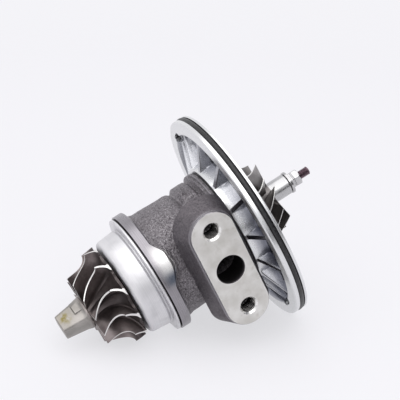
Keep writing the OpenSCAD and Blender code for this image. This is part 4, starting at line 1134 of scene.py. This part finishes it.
# %% Finishes for the solids that stay
HIDDEN = {
    "turbine_seal_ring": RING_IRON, "compressor_seal_ring": RING_IRON, "bush_circlips": SPRING,
    "thrust_bearing": BRONZE, "turbine_bush": BRONZE, "compressor_bush": BRONZE, "thrust_pin": STEEL,
    "thrust_collar": STEEL, "thrust_spacer": STEEL, "seal_sleeve": STEEL, "oil_baffle": SHEET,
    "flange_gasket": GASKET, "backplate_screws": OXIDE,
}
for name, finish in HIDDEN.items():
    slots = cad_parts[name].data.materials
    slots.clear()
    slots.append(finish.material)
print("solids kept:", len(HIDDEN))

# %% [markdown]
# ## Floor and light
# The part lies on a white table, resting on the backplate's rim and the turbine wheel, so the floor leans
# against the shaft. It fades out towards its border and is seen from above only. More light could whiten
# the table, but it would bleach the metal. Instead a part of the table's tone is its own, for all that
# looks at it, and the rest takes the shadow. A large soft lamp hangs overhead, and black cards give bright
# metal something dark to reflect.

# %% Floor
UP = Vector((0.387, -0.066, 0.920)).normalized()
FLOOR_REACH, FLOOR_GAP, FADE_FROM, FADE_TO, GLOW_SHARE = 0.9, 0.0002, 0.35, 0.75, 0.66
PALE, TABLE_TONE = (0.94, 0.94, 0.965, 1.0), (0.90, 0.885, 0.925, 1.0)


def floor_height():
    """Lowest distance of any shown piece along the floor's normal."""
    lowest = []
    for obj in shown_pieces():
        points = np.empty(len(obj.data.vertices) * 3, np.float32)
        obj.data.vertices.foreach_get("co", points)
        lowest.append(float((points.reshape(-1, 3) @ np.array(UP)).min()))
    return min(lowest)


floor_at = UP * (floor_height() - FLOOR_GAP)
side_a = UP.cross(Vector((0.0, 1.0, 0.0))).normalized()
side_b = UP.cross(side_a)
signs = ((-1, -1), (1, -1), (1, 1), (-1, 1))
corners = [floor_at + (side_a * a + side_b * b) * FLOOR_REACH for a, b in signs]
floor_mesh = bpy.data.meshes.new("table")
floor_mesh.from_pydata(corners, [], [(0, 1, 2, 3)])
table = added("table", floor_mesh)
if floor_mesh.polygons[0].normal.dot(UP) < 0:
    floor_mesh.flip_normals()

white = Finish("white_table")
sockets = {0: white.place, 1: tuple(floor_at)}
centre = white.node("ShaderNodeVectorMath", {"operation": "DISTANCE"}, sockets, out="Value")
behind = white.node("ShaderNodeNewGeometry", out="Backfacing")
hide = white.span(white.span(centre, FADE_FROM, FADE_TO) + behind, 0.0, 1.0)
cover = white.node("ShaderNodeBsdfDiffuse", {}, {"Color": TABLE_TONE})
glow = white.node("ShaderNodeEmission", {}, {"Color": PALE})
lit = white.node("ShaderNodeMixShader", {}, {0: white.looked_at() * GLOW_SHARE, 1: cover, 2: glow})
clear = white.node("ShaderNodeBsdfTransparent")
white.ended(white.node("ShaderNodeMixShader", {}, {0: hide, 1: lit, 2: clear}))
floor_mesh.materials.append(white.material)
print("floor below the shaft's origin in mm:", round(floor_at.length / MM, 1))

# %% Lamps
TARGET = Vector((20.0, 0.0, 0.0)) * MM


def soft_lamp(name, direction, distance, size, watts, colour):
    """Square lamp that looks at the part from that direction."""
    data = bpy.data.lights.new(name, "AREA")
    data.shape, data.size, data.energy, data.color = "SQUARE", size, watts, colour
    back = direction.normalized()
    aim = back.to_track_quat("Z", "Y").to_matrix().to_4x4()
    added(name, data).matrix_world = Matrix.Translation(TARGET + back * distance) @ aim
    print(name, "watts:", watts)


soft_lamp("overhead", UP * 1.0 - RIGHT * 0.15 - FORWARD * 0.35, 0.95, 1.4, 6.2, (1.0, 0.99, 0.98))
soft_lamp("front_box", UP * 0.50 + RIGHT * 0.35 - FORWARD * 0.8, 1.2, 0.5, 1.0, (1.0, 1.0, 1.0))

# %% Dark cards beside the camera
CARD_REACH = 1.3
toward_eye = -(FORWARD - UP * FORWARD.dot(UP)).normalized()
beside = UP.cross(toward_eye)
felt = Finish("black_felt").done((0.02, 0.02, 0.022), 0.9, 0.0)


def dark_card(name, start, end, low, high):
    """Curved black card that only reflections see, from start to end degrees round from the camera."""
    sweep = np.radians(np.linspace(start, end, 25))[None, :, None]
    rise = np.array([low, high])[:, None, None]
    points = np.array(floor_at) + rise * np.array(UP) + CARD_REACH * (
        np.cos(sweep) * np.array(toward_eye) + np.sin(sweep) * np.array(beside))
    shell = Shell()
    shell.grid(points)
    mesh = bpy.data.meshes.new(name)
    mesh.from_pydata(shell.points[0].tolist(), [], shell.quads[0].tolist())
    card = added(name, mesh)
    card.visible_camera = card.visible_diffuse = card.visible_shadow = card.visible_transmission = False
    mesh.materials.append(felt.material)
    print(name, "degrees:", start, "to", end)


dark_card("card_right", 36.0, 105.0, 0.01, 1.25)
dark_card("card_low", -40.0, 36.0, 0.01, 0.22)

# %% World
STUDIO = (0.60, 0.60, 0.63, 1.0)
world = bpy.data.worlds.new("studio")
bpy.context.scene.world = world
sky = Nodes(world)
dim, pale = (sky.node("ShaderNodeBackground", {}, {"Color": tone}) for tone in (STUDIO, PALE))
shown = sky.node("ShaderNodeMixShader", {}, {0: sky.looked_at(), 1: dim, 2: pale})
sky.node("ShaderNodeOutputWorld", {}, {"Surface": shown})
print("world nodes:", len(world.node_tree.nodes))
